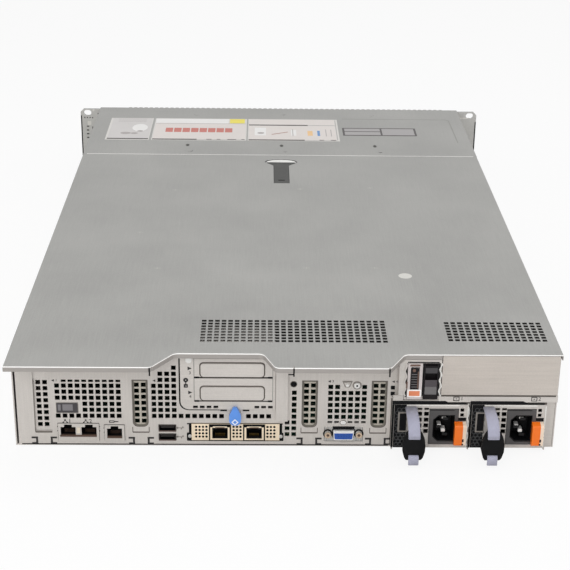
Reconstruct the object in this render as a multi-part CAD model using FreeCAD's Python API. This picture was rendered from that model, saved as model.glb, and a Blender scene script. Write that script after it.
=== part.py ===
"""Two-unit rack-mount IP video recorder, seen and dimensioned from its connector side.

Sizes are millimetres. While a piece is being made, x runs to the right as seen from
behind, y runs from the outside face of the rear wall towards the drives, and z runs up
from the underside. save() then moves each piece so that the origin is the centre of the
object's footprint, at its underside.
"""
import FreeCAD, Part
import math
import os

from FreeCAD import Vector

# Overall sizes
ROOF_Z = 86.6
BODY_W = 434.0
EAR_SPAN = 482.0
EAR_Y = 665.0
FRONT_Y = 687.0
HANDLE_REACH = 36.0
SHEET = 1.0
GAP = 0.3

# Roof panels
ROOF_FOLD = 0.9
RIVET_R = 2.6
RIVET_RISE = 0.2
RIVET_SIDES = 10
FRONT_RIVETS = ((-100.5, 503.0), (5.2, 503.7), (110.9, 504.4),
                (-99.1, 643.2), (5.2, 647.8), (110.6, 643.4))
SEAM_Y = 488.5
COVER_LENGTH_FRONT = 671.0
OVERHANG = 32.0
SHORT_EDGE = 7.6
FLANGE = 4.6
NOTCH_LEFT = (-104.6, -88.0)
NOTCH_RIGHT = (-18.4, -9.0)
STEP_RIGHT = (79.5, 92.4)
NOTCH_R = 6.0
FLANGE_END_X = 122.0
COVER_TRAVEL = 12.0
TRAY_RIM = 7.4
SLITS_X = (-103.6, 5.1, 78.7)
SLIT_W = 1.2
SLIT_DEPTH = 2.4

# Perforation shared by the roof and the rear wall
PITCH = 5.39
HOLE = 3.8
VENT_A = {"x": -66.8, "y": 15.2, "columns": 28, "rows": 8}
VENT_B = {"x": 131.3, "y": 18.6, "columns": 15, "rows": 7}

# Roof latch
LATCH_X = 0.3
LATCH_W = 16.0
LATCH_REAR = 396.0
LATCH_HINGE = 462.0
LATCH_HEAD_W = 30.4
LATCH_HEAD = 9.0
LATCH_THICK = 3.0
LATCH_DISH = 7.0
LATCH_PIN_R = 1.2
LATCH_SWING = 2.0
LATCH_SHOULDER = 0.9

# Rear wall
WALL_TOP = 78.2
WALL_RIGHT = 84.0
WALL_BOTTOM = 1.0
WALL_SPLIT = 24.1
GRID_A = (-181.8, 53.8)
GRID_B = (-105.4, 64.7)
GRID_C = (35.4, 53.7)
COLUMN = (6.5, 48.4)
HALF_HOLE = 2.1

# Vertical slot brackets
BRACKETS = (-194.0, -116.2, 18.9, 74.3)
BRACKET_W = 18.4
BRACKET_WINDOW = 13.4
BRACKET_FLOOR = 2.6
BRACKET_TAB = 11.4
BRACKET_ROW_TOP = 56.2
BRACKET_ROWS = 8
DEEP_ROW_TOP = 54.3
DEEP_ROWS = 7
DEEP_WINDOW = (12.0, 17.4, 59.0)
DEEP_WINDOW_R = 4.0
ARC_STEPS = 4

# Riser panel, its two slot fillers and the release tab
RISER_X = (-84.0, -8.6)
RISER_Z = (33.7, 80.0)
RISER_CORNER = 7.0
RISER_WINDOW_X = (-73.3, -10.6)
RISER_WINDOW_Z = (41.0, 78.9)
RISER_WALL_X = (-79.6, -9.6)
RISER_WALL_Z = 38.0
RISER_HOLE_Z = 35.9
RISER_HOLES = (-72.2, -66.8, -61.4, -56.0, -23.3, -17.9, -12.5)
RISER_HOLE_H = 2.4
RISER_SIDE = 150.0
FILLER_SPLIT = 61.7
PRESSING_X = (-67.7, -17.9)
PRESSING_H = 11.4
PRESSING_MIDDLE = 7.0
PRESSING_RISE = 0.9
PRESSING_R = 2.4
POST_X = (-8.2, 1.4)
POST_Z = (24.1, 69.0)
POST_RISE = 3.4
TAB_X = -40.6
TAB_TOP = 36.4
TAB_BOTTOM = 20.6
TAB_W = 9.4
TAB_THICK = 2.6
TAB_STEM = 3.0

# Sockets on the main board
BOARD_TOP = 4.4
BOARD_THICK = 1.6
JACK_W = 12.0
JACK_H = 8.7
JACK_DEPTH = 13.0
JACK_BODY_DEPTH = 21.0
JACK_KEY = (6.2, 2.2)
JACK_WALL = 2.0
LAN_X = (-174.5, -157.8)
LAN_Z = 8.1
SERVICE_X = -137.4
SERVICE_Z = 6.8
SOCKET_PROUD = 0.6
USB_X = (-101.9, -88.2)
USB_Z = (4.7, 12.9)
USB_H = 6.0
USB_DEPTH = 14.0
USB_SKIN = 0.7
USB_TONGUE = 1.8
VGA_X = 46.6
VGA_Z = 10.9
VGA_PLATE = (30.6, 12.4)
VGA_SHELL = (16.9, 8.2)
VGA_SCREW_X = 12.5
VGA_SCREW_R = 2.6
VGA_BORE_R = 1.4
VGA_SIDES = 6

# Network card
CARD_X = (-75.6, -5.0)
CARD_Z = (5.4, 20.2)
CARD_CUT_X = (-77.8, -2.8)
CARD_JACKS = (-52.7, -25.3)
CARD_JACK_W = 15.9
CARD_JACK_BORE = 11.9
CARD_PROUD = 0.8
CARD_DEPTH = 90.0
CARD_RETURN = 12.0

# Power supplies and their cage
PSU_X = 86.0
PSU_W = 59.4
PSU_H = 39.0
PSU_Z = 3.3
PSU_PITCH = 62.1
PSU_DEPTH = 185.0
PSU_FACE = -7.5
PSU_SKIN = 0.8
CAGE_DEPTH = 192.0
CAGE_TOP = 45.0
CAGE_STRIP_TOP = 50.3
SKID_W = 6.0
PSU_VENT_U = 9.4
PSU_VENT_COLUMNS = (20.4, 25.8)
PSU_VENT_Z = (33.9, 28.6, 23.4, 18.3)
PSU_VENT_TOP = 38.3
PSU_SMALL_U = 54.3
PSU_SMALL_Z = (37.4, 33.0)
PSU_SMALL_W = 3.0
INLET_U = (28.4, 51.4)
INLET_Z = (6.6, 38.4)
INLET_DEPTH = 24.0
INLET_WELL = 17.0
INLET_CAVITY = (16.4, 22.6)
INLET_CHAMFER = 4.0
PIN_SIZE = (2.2, 4.2)
RELEASE_U = (48.4, 57.6)
RELEASE_Z = (7.0, 27.6)
RELEASE_REACH = 5.4
RELEASE_STEM_U = 55.8
RELEASE_STEM = (1.8, 9.0)
RELEASE_TRAVEL = 2.0
BAIL_U = 14.0
BAIL_W = 18.0
BAIL_THICK = 3.0
BAIL_TOP = 37.4
BAIL_BOTTOM = 7.0
BAIL_R = 10.0
BAIL_LOW_R = 2.5
BAIL_SIDE = ((4.2, 32.5), (6.6, 29.6), (8.2, 25.5), (9.0, 20.0), (8.8, 14.5), (7.4, 9.5), (5.2, 5.5))
STRAP_W = 9.4
STRAP_TAIL_W = 8.2
STRAP_THICK = 1.4
STRAP_SLOTS = (26.3, 10.8)
STRAP_END = 3.4

# Panel above the power supplies
BLANK_X = (122.5, 215.0)
BLANK_Z = (51.0, 85.2)
BLANK_RETURN = 14.0

# Storage module bay
BAY_X = (88.6, 121.8)
BAY_TOP = ROOF_Z - FLANGE - GAP
MODULE_X = (95.2, 108.0)
MODULE_W = 11.6
MODULE_Z = 47.4
MODULE_H = 31.4
MODULE_LENGTH = 82.0
BAY_LENGTH = 90.0

# Inside
BOARD_END = 395.0
SINKS_X = (-122.0, 56.0)
SINK = (92.0, 112.0, 66.0)
SINK_BASE = 6.0
SINK_Y = 240.0
FIN_COUNT = 9
FIN = 2.0
DIMM = (1.4, 133.0, 31.0)
DIMM_X = (-158.0, -24.0, 16.0, 154.0)
DIMM_PITCH = 9.5
DIMM_PER_BANK = 4
FAN_COUNT = 6
FAN_PITCH = 69.0
FAN_SIZE = 66.0
FAN_DEPTH = 38.0
FAN_Y = 412.0
FAN_Z = 38.0
FAN_BORE = 30.0
FAN_HUB = 15.0
FAN_BOSS = 8.0
FAN_BLADES = 5
FAN_BLADE_R = 29.0
FAN_SIDES = 12

# Drives
BAYS = 4
DRIVE_PITCH = 106.4
CARRIER_W = 104.8
CARRIER_H = 27.0
CARRIER_Z = 3.4
CARRIER_LENGTH = 170.0
ROW_PITCH = 29.0
DISK = (101.6, 147.0, 26.1)
BEZEL_DEPTH = 18.0
LEVER = (80.0, 5.4, 17.0)
LEVER_KNUCKLE = 2.6
KNUCKLE_SIDES = 12
LEVER_PIN = 1.2
RUN_FIT = 0.05
VENT_FRAME = 4.0
VENT_SLOTS = 16
VENT_SLOT_W = 18.0
VENT_REACH = 4.6
BACKPLANE_Y = 486.0

# Rack ears, controls and rail studs
EAR_THICK = 2.5
EAR_Z = (0.6, 86.2)
EAR_CHAMFER = 4.0
RACK_HOLES_X = 465.1
RACK_HOLES_Z = 76.2
RACK_SLOT = (9.0, 6.8)
CONTROL_W = 9.4
CONTROL_Z = (8.0, 79.0)
BUTTON_R = 3.4
BUTTON_SIDES = 16
BUTTON_Z = 64.0
BUTTON_PROUD = 0.4
BUTTON_SEAT = 8.0
BUTTON_TRAVEL = 1.0
CONTROL_BACK = 0.6
STUDS_Y = (60.0, 330.0, 600.0)
STUD_Z = 43.4
STUD_R = 2.2
STUD_HEAD_R = 4.0
NECK_SIDES = 12
STUD_NECK = 2.4
STUD_HEAD = 1.4
STUD_SIDES = 10

# Worked out from the sizes above
HALF = BODY_W / 2
SHIFT_Y = (HANDLE_REACH - FRONT_Y) / 2
UNDER_ROOF = ROOF_Z - SHEET
RIM_X = HALF - SHEET - GAP
WALL_LEFT = SHEET + GAP - RIM_X
BOARD_START = 2 * SHEET + GAP


def box(x0, x1, y0, y1, z0, z1):
    """A block between two values on each axis."""
    return Part.makeBox(x1 - x0, y1 - y0, z1 - z0, Vector(x0, y0, z0))


def rod(radius, length, base, direction):
    """A cylinder from a base point along a direction."""
    return Part.makeCylinder(radius, length, Vector(*base), Vector(*direction))


def drum(centre, radius, sides, place, push):
    """A many-sided prism about a centre, from a plane along a push."""
    angles = [2 * math.pi * (i + 0.5) / sides for i in range(sides)]
    points = [(centre[0] + radius * math.cos(a), centre[1] + radius * math.sin(a)) for a in angles]
    return sheet(points, [], place, push)


def join(shapes):
    """One solid from several that touch."""
    return shapes[0].multiFuse(shapes[1:]).removeSplitter()


def take(shape, tools):
    """A solid with every tool cut out of it."""
    return shape.cut(Part.makeCompound(tools))


def offset_line(points, distance, closed):
    """The corners of a line moved sideways, to its left for a positive distance."""
    count = len(points)
    moved = []
    for i, (a, b) in enumerate(points):
        before = points[i - 1] if (closed or i > 0) else None
        after = points[(i + 1) % count] if (closed or i < count - 1) else None
        normals = []
        for start, end in ((before, (a, b)), ((a, b), after)):
            if start is None or end is None:
                continue
            da, db = end[0] - start[0], end[1] - start[1]
            size = math.hypot(da, db)
            normals.append((-db / size, da / size))
        na = sum(n[0] for n in normals) / len(normals)
        nb = sum(n[1] for n in normals) / len(normals)
        square = na * na + nb * nb
        moved.append((a + distance * na / square, b + distance * nb / square))
    return moved


def turn_at(points, i):
    """The sine of the turn at a corner, positive to the left."""
    a, b, c = points[i - 1], points[i], points[(i + 1) % len(points)]
    ux, uy = b[0] - a[0], b[1] - a[1]
    vx, vy = c[0] - b[0], c[1] - b[1]
    return (ux * vy - uy * vx) / (math.hypot(ux, uy) * math.hypot(vx, vy))


def edges_of(points, radii, place, closed):
    """Lines and tangent arcs through corners, each corner rounded by its radius."""
    count = len(points)
    ends = []
    arcs = []
    for i, (a, b) in enumerate(points):
        radius = radii[i]
        inner = closed or 0 < i < count - 1
        if radius <= 0 or not inner:
            ends.append(((a, b), (a, b)))
            arcs.append(None)
            continue
        pa, na = points[i - 1], points[(i + 1) % count]
        ua = ((pa[0] - a), (pa[1] - b))
        ub = ((na[0] - a), (na[1] - b))
        la, lb = math.hypot(*ua), math.hypot(*ub)
        ua = (ua[0] / la, ua[1] / la)
        ub = (ub[0] / lb, ub[1] / lb)
        half = math.acos(max(-1.0, min(1.0, ua[0] * ub[0] + ua[1] * ub[1]))) / 2
        run = radius / math.tan(half)
        start = (a + ua[0] * run, b + ua[1] * run)
        stop = (a + ub[0] * run, b + ub[1] * run)
        mid = (ua[0] + ub[0], ua[1] + ub[1])
        size = math.hypot(*mid)
        reach = radius / math.sin(half) - radius
        crown = (a + mid[0] / size * reach, b + mid[1] / size * reach)
        ends.append((start, stop))
        arcs.append(crown)
    edges = []
    for i in range(count):
        if arcs[i] is not None:
            edges.append(Part.Arc(place(*ends[i][0]), place(*arcs[i]), place(*ends[i][1])).toShape())
        if closed or i < count - 1:
            start, stop = place(*ends[i][1]), place(*ends[(i + 1) % count][0])
            if start.distanceToPoint(stop) > 1e-6:
                edges.append(Part.LineSegment(start, stop).toShape())
    return edges


def on_xy(z):
    """Places plan points at a height."""
    return lambda a, b: Vector(a, b, z)


def on_xz(y):
    """Places points of an upright plate at a depth."""
    return lambda a, b: Vector(a, y, b)


def on_yz(x):
    """Places points of a side profile at a width."""
    return lambda a, b: Vector(x, a, b)


def outline(points, place, radii=None):
    """A closed wire through corners."""
    radii = radii or [0.0] * len(points)
    return Part.Wire(edges_of(points, radii, place, True))


def rectangle(x0, x1, z0, z1):
    """The four corners of a rectangle."""
    return [(x0, z0), (x1, z0), (x1, z1), (x0, z1)]


def hole_at(x, z, width=HOLE, height=HOLE):
    """The four corners of a hole about its centre."""
    return rectangle(x - width / 2, x + width / 2, z - height / 2, z + height / 2)


def sheet(points, holes, place, depth, radii=None):
    """A flat sheet with holes: one face with its hole wires, pushed along a vector."""
    wires = [outline(points, place, radii)] + [outline(h, place) for h in holes]
    return Part.makeFace(wires, "Part::FaceMakerBullseye").extrude(depth)


def wall_sheet(points, holes, y0, y1, radii=None):
    """An upright sheet between two depths."""
    return sheet(points, holes, on_xz(y0), Vector(0, y1 - y0, 0), radii)


def roof_sheet(points, holes, z0, z1, radii=None):
    """A level sheet between two heights."""
    return sheet(points, holes, on_xy(z0), Vector(0, 0, z1 - z0), radii)


def side_sheet(points, x0, x1, radii=None):
    """A side profile pushed across a width."""
    return sheet(points, [], on_yz(x0), Vector(x1 - x0, 0, 0), radii)


def ribbon(points, radii, thick, x0, x1):
    """A strip of even thickness that follows a side profile."""
    half = thick / 2
    sides = []
    for sign in (1, -1):
        moved = offset_line(points, sign * half, False)
        turns = [0.0]
        for i in range(1, len(points) - 1):
            turns.append(radii[i] - sign * half * (1 if turn_at(points, i) > 0 else -1))
        turns.append(0.0)
        sides.append((moved, turns))
    corners = sides[0][0] + sides[1][0][::-1]
    rounds = sides[0][1] + sides[1][1][::-1]
    return side_sheet(corners, x0, x1, rounds)


def save(name, *solids):
    """Write one named piece, moved to the object's own origin."""
    shape = solids[0] if len(solids) == 1 else Part.makeCompound(list(solids))
    shape = shape.copy()
    shape.translate(Vector(0, SHIFT_Y, 0))
    shape.exportStep(os.path.join("parts", name + ".step"))


def roof_outline():
    """Plan of the removable roof panel, stepped round the riser and the power supplies."""
    rear, short = -OVERHANG, -SHORT_EDGE
    points = [
        (-HALF, SEAM_Y), (-HALF, rear), (NOTCH_LEFT[0], rear), (NOTCH_LEFT[1], short),
        (NOTCH_RIGHT[0], short), (NOTCH_RIGHT[1], rear), (STEP_RIGHT[0], rear),
        (STEP_RIGHT[1], short), (HALF, short), (HALF, SEAM_Y),
    ]
    radii = [0, 0] + [NOTCH_R] * 6 + [0, 0]
    return points, radii


def vent(plan):
    """Holes of one roof vent."""
    return [hole_at(plan["x"] + PITCH * i, plan["y"] + PITCH * j)
            for j in range(plan["rows"]) for i in range(plan["columns"])]


def latch_outline(grow, shoulder=0.0):
    """Plan of the roof latch: a narrow grip that widens to a head, set in before the hinge."""
    grip, head = LATCH_W / 2 + grow, LATCH_HEAD_W / 2 + grow
    rear, hinge = LATCH_REAR - grow, LATCH_HINGE
    top = LATCH_HINGE + LATCH_HEAD + 2 * grow
    half = [(grip, rear), (grip, hinge - LATCH_HEAD), (head - shoulder, hinge)]
    if shoulder > 0:
        half.append((head, hinge))
    half.append((head, top))
    left = [(-x, y) for x, y in half[::-1]]
    return [(LATCH_X + x, y) for x, y in half + left]


def fold_edges(shape):
    """Upper outside edges of the roof panel, where its flange is folded down."""
    chosen = []
    for edge in shape.Edges:
        ends = edge.BoundBox
        middle = edge.CenterOfMass
        level = abs(ends.ZMin - ROOF_Z) < 1e-6 and abs(ends.ZMax - ROOF_Z) < 1e-6
        seam = abs(ends.YMin - SEAM_Y) < 1e-6
        latch = abs(middle.x - LATCH_X) < LATCH_HEAD_W and middle.y > LATCH_REAR - 5
        if level and not seam and not latch and edge.Length > 1.2 * HOLE:
            chosen.append(edge)
    return chosen


def top_cover():
    """Removable roof: a perforated sheet with a turned-down flange along its free edges."""
    points, radii = roof_outline()
    holes = vent(VENT_A) + vent(VENT_B) + [latch_outline(GAP)]
    plate = roof_sheet(points, holes, UNDER_ROOF, ROOF_Z, radii)
    inner = offset_line(points, SHEET, True)
    inner_radii = [0.0 if r == 0 else r + SHEET * (-1 if turn_at(points, i) > 0 else 1)
                   for i, r in enumerate(radii)]
    bottom = ROOF_Z - FLANGE
    rim = roof_sheet(points, [], bottom, UNDER_ROOF, radii)
    core = roof_sheet(inner, [], bottom, UNDER_ROOF, inner_radii)
    front = box(-HALF + SHEET, HALF - SHEET, SEAM_Y - 2 * SHEET, SEAM_Y, bottom, UNDER_ROOF)
    over_blank = box(FLANGE_END_X, HALF - SHEET, -SHORT_EDGE, SHEET - SHORT_EDGE, bottom, UNDER_ROOF)
    folded = join([plate, take(rim, [core, front, over_blank])])
    rear = -OVERHANG
    slits = [box(x - SLIT_W / 2, x + SLIT_W / 2, rear - 1, rear + SLIT_DEPTH, bottom - 1, ROOF_Z + 1)
             for x in SLITS_X]
    return take(folded.makeFillet(ROOF_FOLD, fold_edges(folded)), slits)


def latch_base():
    """Dish under the latch, open below its head, with the hinge pin across it."""
    points = latch_outline(2.5)
    floor_z = UNDER_ROOF - LATCH_DISH
    outer = roof_sheet(points, [], floor_z, UNDER_ROOF)
    inner = roof_sheet(latch_outline(GAP), [], floor_z + SHEET, UNDER_ROOF)
    pin_z = UNDER_ROOF - LATCH_THICK / 2
    width = LATCH_HEAD_W + 4.0
    pin = rod(LATCH_PIN_R, width, (LATCH_X - width / 2, LATCH_HINGE, pin_z), (1, 0, 0))
    half = LATCH_HEAD_W / 2 + GAP
    dip = box(LATCH_X - half, LATCH_X + half, LATCH_HINGE + LATCH_PIN_R, LATCH_HINGE + LATCH_HEAD + 2 * GAP,
              floor_z, floor_z + SHEET)
    swing = box(LATCH_X - half, LATCH_X + half, LATCH_HINGE - LATCH_SWING, LATCH_HINGE,
                floor_z + SHEET, UNDER_ROOF)
    return join([take(outer, [inner, dip, swing]), pin])


def latch_handle():
    """Lever that lifts out of the roof and draws the panel back."""
    bottom = UNDER_ROOF - LATCH_THICK
    plate = roof_sheet(latch_outline(0.0, LATCH_SHOULDER), [], bottom, ROOF_Z - GAP)
    pin_z = UNDER_ROOF - LATCH_THICK / 2
    width = LATCH_HEAD_W + 1.0
    bore = rod(LATCH_PIN_R + RUN_FIT, width, (LATCH_X - width / 2, LATCH_HINGE, pin_z), (1, 0, 0))
    slot_x, slot_y = 3.4, LATCH_REAR + 9.0
    finger = box(LATCH_X - slot_x, LATCH_X + slot_x, slot_y, slot_y + 2.4, bottom, ROOF_Z)
    back = box(LATCH_X - width / 2, LATCH_X + width / 2, LATCH_HINGE + 3.0,
               LATCH_HINGE + LATCH_HEAD, bottom, bottom + 1.6)
    return take(plate, [bore, finger, back])


def front_cover():
    """Fixed roof over the drives, with side and front lips."""
    plate = box(-HALF, HALF, SEAM_Y + GAP, COVER_LENGTH_FRONT, UNDER_ROOF, ROOF_Z)
    lip = ROOF_Z - FLANGE
    left = box(-HALF, SHEET - HALF, SEAM_Y + GAP, EAR_Y - GAP, lip, UNDER_ROOF)
    right = box(HALF - SHEET, HALF, SEAM_Y + GAP, EAR_Y - GAP, lip, UNDER_ROOF)
    rivets = [drum(place, RIVET_R, RIVET_SIDES, on_xy(ROOF_Z), Vector(0, 0, RIVET_RISE))
              for place in FRONT_RIVETS]
    return join([plate, left, right] + rivets)


def chassis_tray():
    """Floor and two sides folded from one sheet, the sides set in below the roof's lips."""
    half = HALF
    step_z = ROOF_Z - TRAY_RIM
    top = UNDER_ROOF - GAP
    outer = [(-half, 0.0), (half, 0.0), (half, step_z), (RIM_X, step_z + SHEET), (RIM_X, top)]
    inner = [(RIM_X - SHEET, top), (RIM_X - SHEET, step_z), (half - SHEET, step_z - SHEET),
             (half - SHEET, SHEET)]
    points = outer + inner + [(-x, z) for x, z in inner[::-1]] + [(-x, z) for x, z in outer[:1:-1]]
    return wall_sheet(points, [], 0.0, EAR_Y)


def wall_holes():
    """Centres and sizes of every hole in the rear wall, grid by grid."""
    holes = []
    x0, z0 = GRID_A
    for row in range(6):
        first = 4 if row in (3, 4) else 0
        holes += [hole_at(x0 + PITCH * i, z0 - PITCH * row) for i in range(first, 10)]
    holes += [hole_at(x0 + PITCH * i, z0 + PITCH - HALF_HOLE / 2, HOLE, HALF_HOLE) for i in range(1, 10)]
    x0, z0 = GRID_B
    for row in range(8):
        first = 1 if row < 2 else 0
        holes += [hole_at(x0 + PITCH * i, z0 - PITCH * row) for i in range(first, 4)]
    holes.append(hole_at(x0 + PITCH * 3, z0 + PITCH))
    low = z0 - PITCH * 7
    holes += [hole_at(x0 + PITCH * i, low) for i in list(range(4, 11)) + list(range(14, 18))]
    x0, z0 = GRID_C
    for row in range(6):
        columns = (0, 1, 5) if row == 0 else range(6)
        holes += [hole_at(x0 + PITCH * i, z0 - PITCH * row) for i in columns]
    holes += [hole_at(x0 + PITCH * i, z0 - PITCH * 6 + 0.6, HOLE, HALF_HOLE) for i in (0, 1, 3, 4, 5)]
    x0, z0 = COLUMN
    holes += [hole_at(x0, z0 - PITCH * row) for row in range(8)]
    holes += [hole_at(x0 - PITCH, z0 - PITCH * row) for row in (5, 6, 7)]
    return holes


def scoop(x, width, z0, z1, radius):
    """Corners of a window with a rounded lower end."""
    half = width / 2
    turns = [math.pi / 2 * i / ARC_STEPS for i in range(ARC_STEPS + 1)]
    arc = [(half - radius * (1 - math.cos(t)), z0 + radius * (1 - math.sin(t))) for t in turns]
    return [(x - a, z) for a, z in arc] + [(x + a, z) for a, z in arc[::-1]] + [(x + half, z1), (x - half, z1)]


def jack_window(x, z):
    """Opening in the wall round one network jack."""
    half = JACK_W / 2 + JACK_WALL
    return (x - half, x + half, z + JACK_H + JACK_KEY[1] + 1.0)


def whole_wall():
    """Perforated rear wall with windows for the sockets, the brackets and the riser."""
    points = [
        (WALL_LEFT, WALL_BOTTOM), (WALL_RIGHT, WALL_BOTTOM), (WALL_RIGHT, WALL_TOP),
        (RISER_WALL_X[1], WALL_TOP), (RISER_WALL_X[1], RISER_WALL_Z),
        (RISER_WALL_X[0], RISER_WALL_Z), (RISER_WALL_X[0], WALL_TOP), (WALL_LEFT, WALL_TOP),
    ]
    holes = wall_holes()
    window = BRACKET_WINDOW / 2
    x = BRACKETS[0]
    holes.append(rectangle(x - window, x + window, BRACKET_FLOOR + 8.6, WALL_TOP - 3.0))
    holes += [scoop(x, *DEEP_WINDOW, DEEP_WINDOW_R) for x in BRACKETS[1:]]
    first = jack_window(LAN_X[0], LAN_Z)
    last = jack_window(LAN_X[1], LAN_Z)
    holes.append(rectangle(first[0] - GAP, last[1] + GAP, BOARD_TOP - GAP, first[2] + GAP))
    service = jack_window(SERVICE_X, SERVICE_Z)
    holes.append(rectangle(service[0] - GAP, service[1] + GAP, BOARD_TOP - GAP, service[2] + GAP))
    for z in USB_Z:
        holes.append(rectangle(USB_X[0] - GAP, USB_X[1] + GAP, z - GAP, z + USB_H + GAP))
    holes.append(rectangle(CARD_CUT_X[0], CARD_CUT_X[1], CARD_Z[0] - GAP, CARD_Z[1] + GAP))
    wide, tall = VGA_PLATE[0] / 2 + GAP, VGA_PLATE[1] / 2 + GAP
    holes.append(rectangle(VGA_X - wide, VGA_X + wide, VGA_Z - tall, VGA_Z + tall))
    stem = TAB_STEM + 2 * GAP
    tab_z = (TAB_TOP + TAB_BOTTOM) / 2
    holes.append(hole_at(TAB_X, tab_z, stem, stem))
    plate = wall_sheet(points, holes, 0.0, SHEET)
    post = box(POST_X[0], POST_X[1], -POST_RISE, 0.0, POST_Z[0], POST_Z[1])
    hollow = box(POST_X[0] + SHEET, POST_X[1] - SHEET, SHEET - POST_RISE, 0.0,
                 POST_Z[0] + SHEET, POST_Z[1] - SHEET)
    return join([plate, take(post, [hollow])])


def rear_wall():
    """The perforated upper part of the rear wall."""
    return whole_wall().common(box(-HALF, HALF, -POST_RISE, SHEET, WALL_SPLIT, WALL_TOP))


def socket_panel():
    """The lower strip of the rear wall, with the windows for the sockets."""
    return whole_wall().common(box(-HALF, HALF, -POST_RISE, SHEET, 0.0, WALL_SPLIT))


def slot_bracket(x, row_top, rows):
    """One slot bracket: perforated plate, a tab bent out over the wall and a foot tongue."""
    half = BRACKET_W / 2
    foot = half - 4.0
    top = WALL_TOP + GAP + SHEET
    points = [(x - foot, BRACKET_FLOOR), (x + foot, BRACKET_FLOOR), (x + foot, BRACKET_FLOOR + 6),
              (x + half, BRACKET_FLOOR + 8), (x + half, top), (x - half, top),
              (x - half, BRACKET_FLOOR + 8), (x - foot, BRACKET_FLOOR + 6)]
    holes = [hole_at(x + side * PITCH / 2, row_top - PITCH * row)
             for row in range(rows) for side in (-1, 1)]
    plate = wall_sheet(points, holes, SHEET + 0.1, 2 * SHEET)
    tab = box(x - half, x + half, -BRACKET_TAB, 2 * SHEET, top - SHEET, top)
    return join([plate, tab])


def riser_panel():
    """Rear face and side sheet of the riser cage, with the window for two slots."""
    x0, x1 = RISER_X
    z0, z1 = RISER_Z
    holes = [rectangle(RISER_WINDOW_X[0], RISER_WINDOW_X[1], RISER_WINDOW_Z[0], RISER_WINDOW_Z[1])]
    holes += [hole_at(x, RISER_HOLE_Z, HOLE, RISER_HOLE_H) for x in RISER_HOLES]
    radii = [RISER_CORNER, 0, 0, 0]
    face_y = -SHEET - GAP
    plate = wall_sheet(rectangle(x0, x1, z0, z1), holes, face_y, -GAP, radii)
    side_x = RISER_WALL_X[0] + GAP
    side = box(side_x, side_x + SHEET, -GAP, RISER_SIDE, RISER_WALL_Z + GAP, z1)
    top = box(side_x, x1, -GAP, RISER_SIDE, z1 - SHEET, z1)
    return join([plate, side, top])


def slot_filler(z0, z1):
    """Filler plate with a raised pressing, and a lip behind the panel at each end."""
    x0, x1 = RISER_WINDOW_X[0] + GAP, RISER_WINDOW_X[1] - GAP
    face_y = -SHEET - GAP
    plate = box(x0, x1, face_y, -GAP, z0, z1)
    lip = box(x0 - 2.0, x1 + 0.6, -GAP, SHEET - GAP, z0 + 1.0, z1 - 1.0)
    middle = z0 + PRESSING_MIDDLE
    half = PRESSING_H / 2
    raised = wall_sheet(rectangle(PRESSING_X[0], PRESSING_X[1], middle - half, middle + half), [],
                        face_y - PRESSING_RISE, face_y, [PRESSING_R] * 4)
    return join([plate, lip, raised])


def release_tab():
    """Teardrop pull tab on a square stem through the wall, with a stop flange behind it."""
    radius = TAB_W / 2
    low = TAB_BOTTOM + radius
    tip = [(TAB_X - radius, low), (TAB_X - radius, low + 4.0), (TAB_X - 1.6, TAB_TOP),
           (TAB_X + 1.6, TAB_TOP), (TAB_X + radius, low + 4.0), (TAB_X + radius, low)]
    back = -SHEET - 2 * GAP
    front = back - TAB_THICK
    body = wall_sheet(tip + [(TAB_X + radius, TAB_BOTTOM), (TAB_X - radius, TAB_BOTTOM)], [],
                      front, back, [0, 0, 1, 1, 0, 0, radius - 0.1, radius - 0.1])
    half = TAB_STEM / 2
    z = (TAB_TOP + TAB_BOTTOM) / 2
    stem = box(TAB_X - half, TAB_X + half, back, 7.0, z - half, z + half)
    stop = box(TAB_X - 3 * half, TAB_X + 3 * half, 6.0, 7.0, z - 2 * half, z + 2 * half)
    return join([body, stem, stop])


def jack_profile(x, z, width):
    """Front outline of a network jack's well: a rectangle with a key above its middle."""
    half, key = width / 2, JACK_KEY[0] / 2
    top = z + JACK_H
    return [(x - half, z), (x + half, z), (x + half, top), (x + key, top), (x + key, top + JACK_KEY[1]),
            (x - key, top + JACK_KEY[1]), (x - key, top), (x - half, top)]


def jack_body(x0, x1, z0, z1, wells, front_y):
    """A block of jacks with its wells open to the rear."""
    body = box(x0, x1, front_y, front_y + JACK_BODY_DEPTH, z0, z1)
    tools = [wall_sheet(w, [], front_y, front_y + JACK_DEPTH) for w in wells]
    return take(body, tools)


def lan_sockets():
    """The pair of network jacks and the single service jack."""
    front = -SOCKET_PROUD
    first, last = jack_window(LAN_X[0], LAN_Z), jack_window(LAN_X[1], LAN_Z)
    pair = jack_body(first[0], last[1], BOARD_TOP, first[2],
                     [jack_profile(x, LAN_Z, JACK_W) for x in LAN_X], front)
    one = jack_window(SERVICE_X, SERVICE_Z)
    single = jack_body(one[0], one[1], BOARD_TOP, one[2],
                       [jack_profile(SERVICE_X, SERVICE_Z, JACK_W)], front)
    return pair, single


def usb_sockets():
    """Two stacked USB shells, each with its tongue."""
    solids = []
    x0, x1 = USB_X
    for z in USB_Z:
        shell = box(x0, x1, -SOCKET_PROUD, USB_DEPTH, z, z + USB_H)
        well = box(x0 + USB_SKIN, x1 - USB_SKIN, -SOCKET_PROUD, USB_DEPTH - 2,
                   z + USB_SKIN, z + USB_H - USB_SKIN)
        tongue_top = z + USB_H - USB_SKIN - 0.6
        tongue = box(x0 + 1.6, x1 - 1.6, 0.6, USB_DEPTH - 1.0, tongue_top - USB_TONGUE, tongue_top)
        solids.append(join([take(shell, [well]), tongue]))
    post = box(x0 + 2.0, x1 - 2.0, 3.0, USB_DEPTH, USB_Z[0] + USB_H, USB_Z[1])
    return join(solids + [post])


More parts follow.
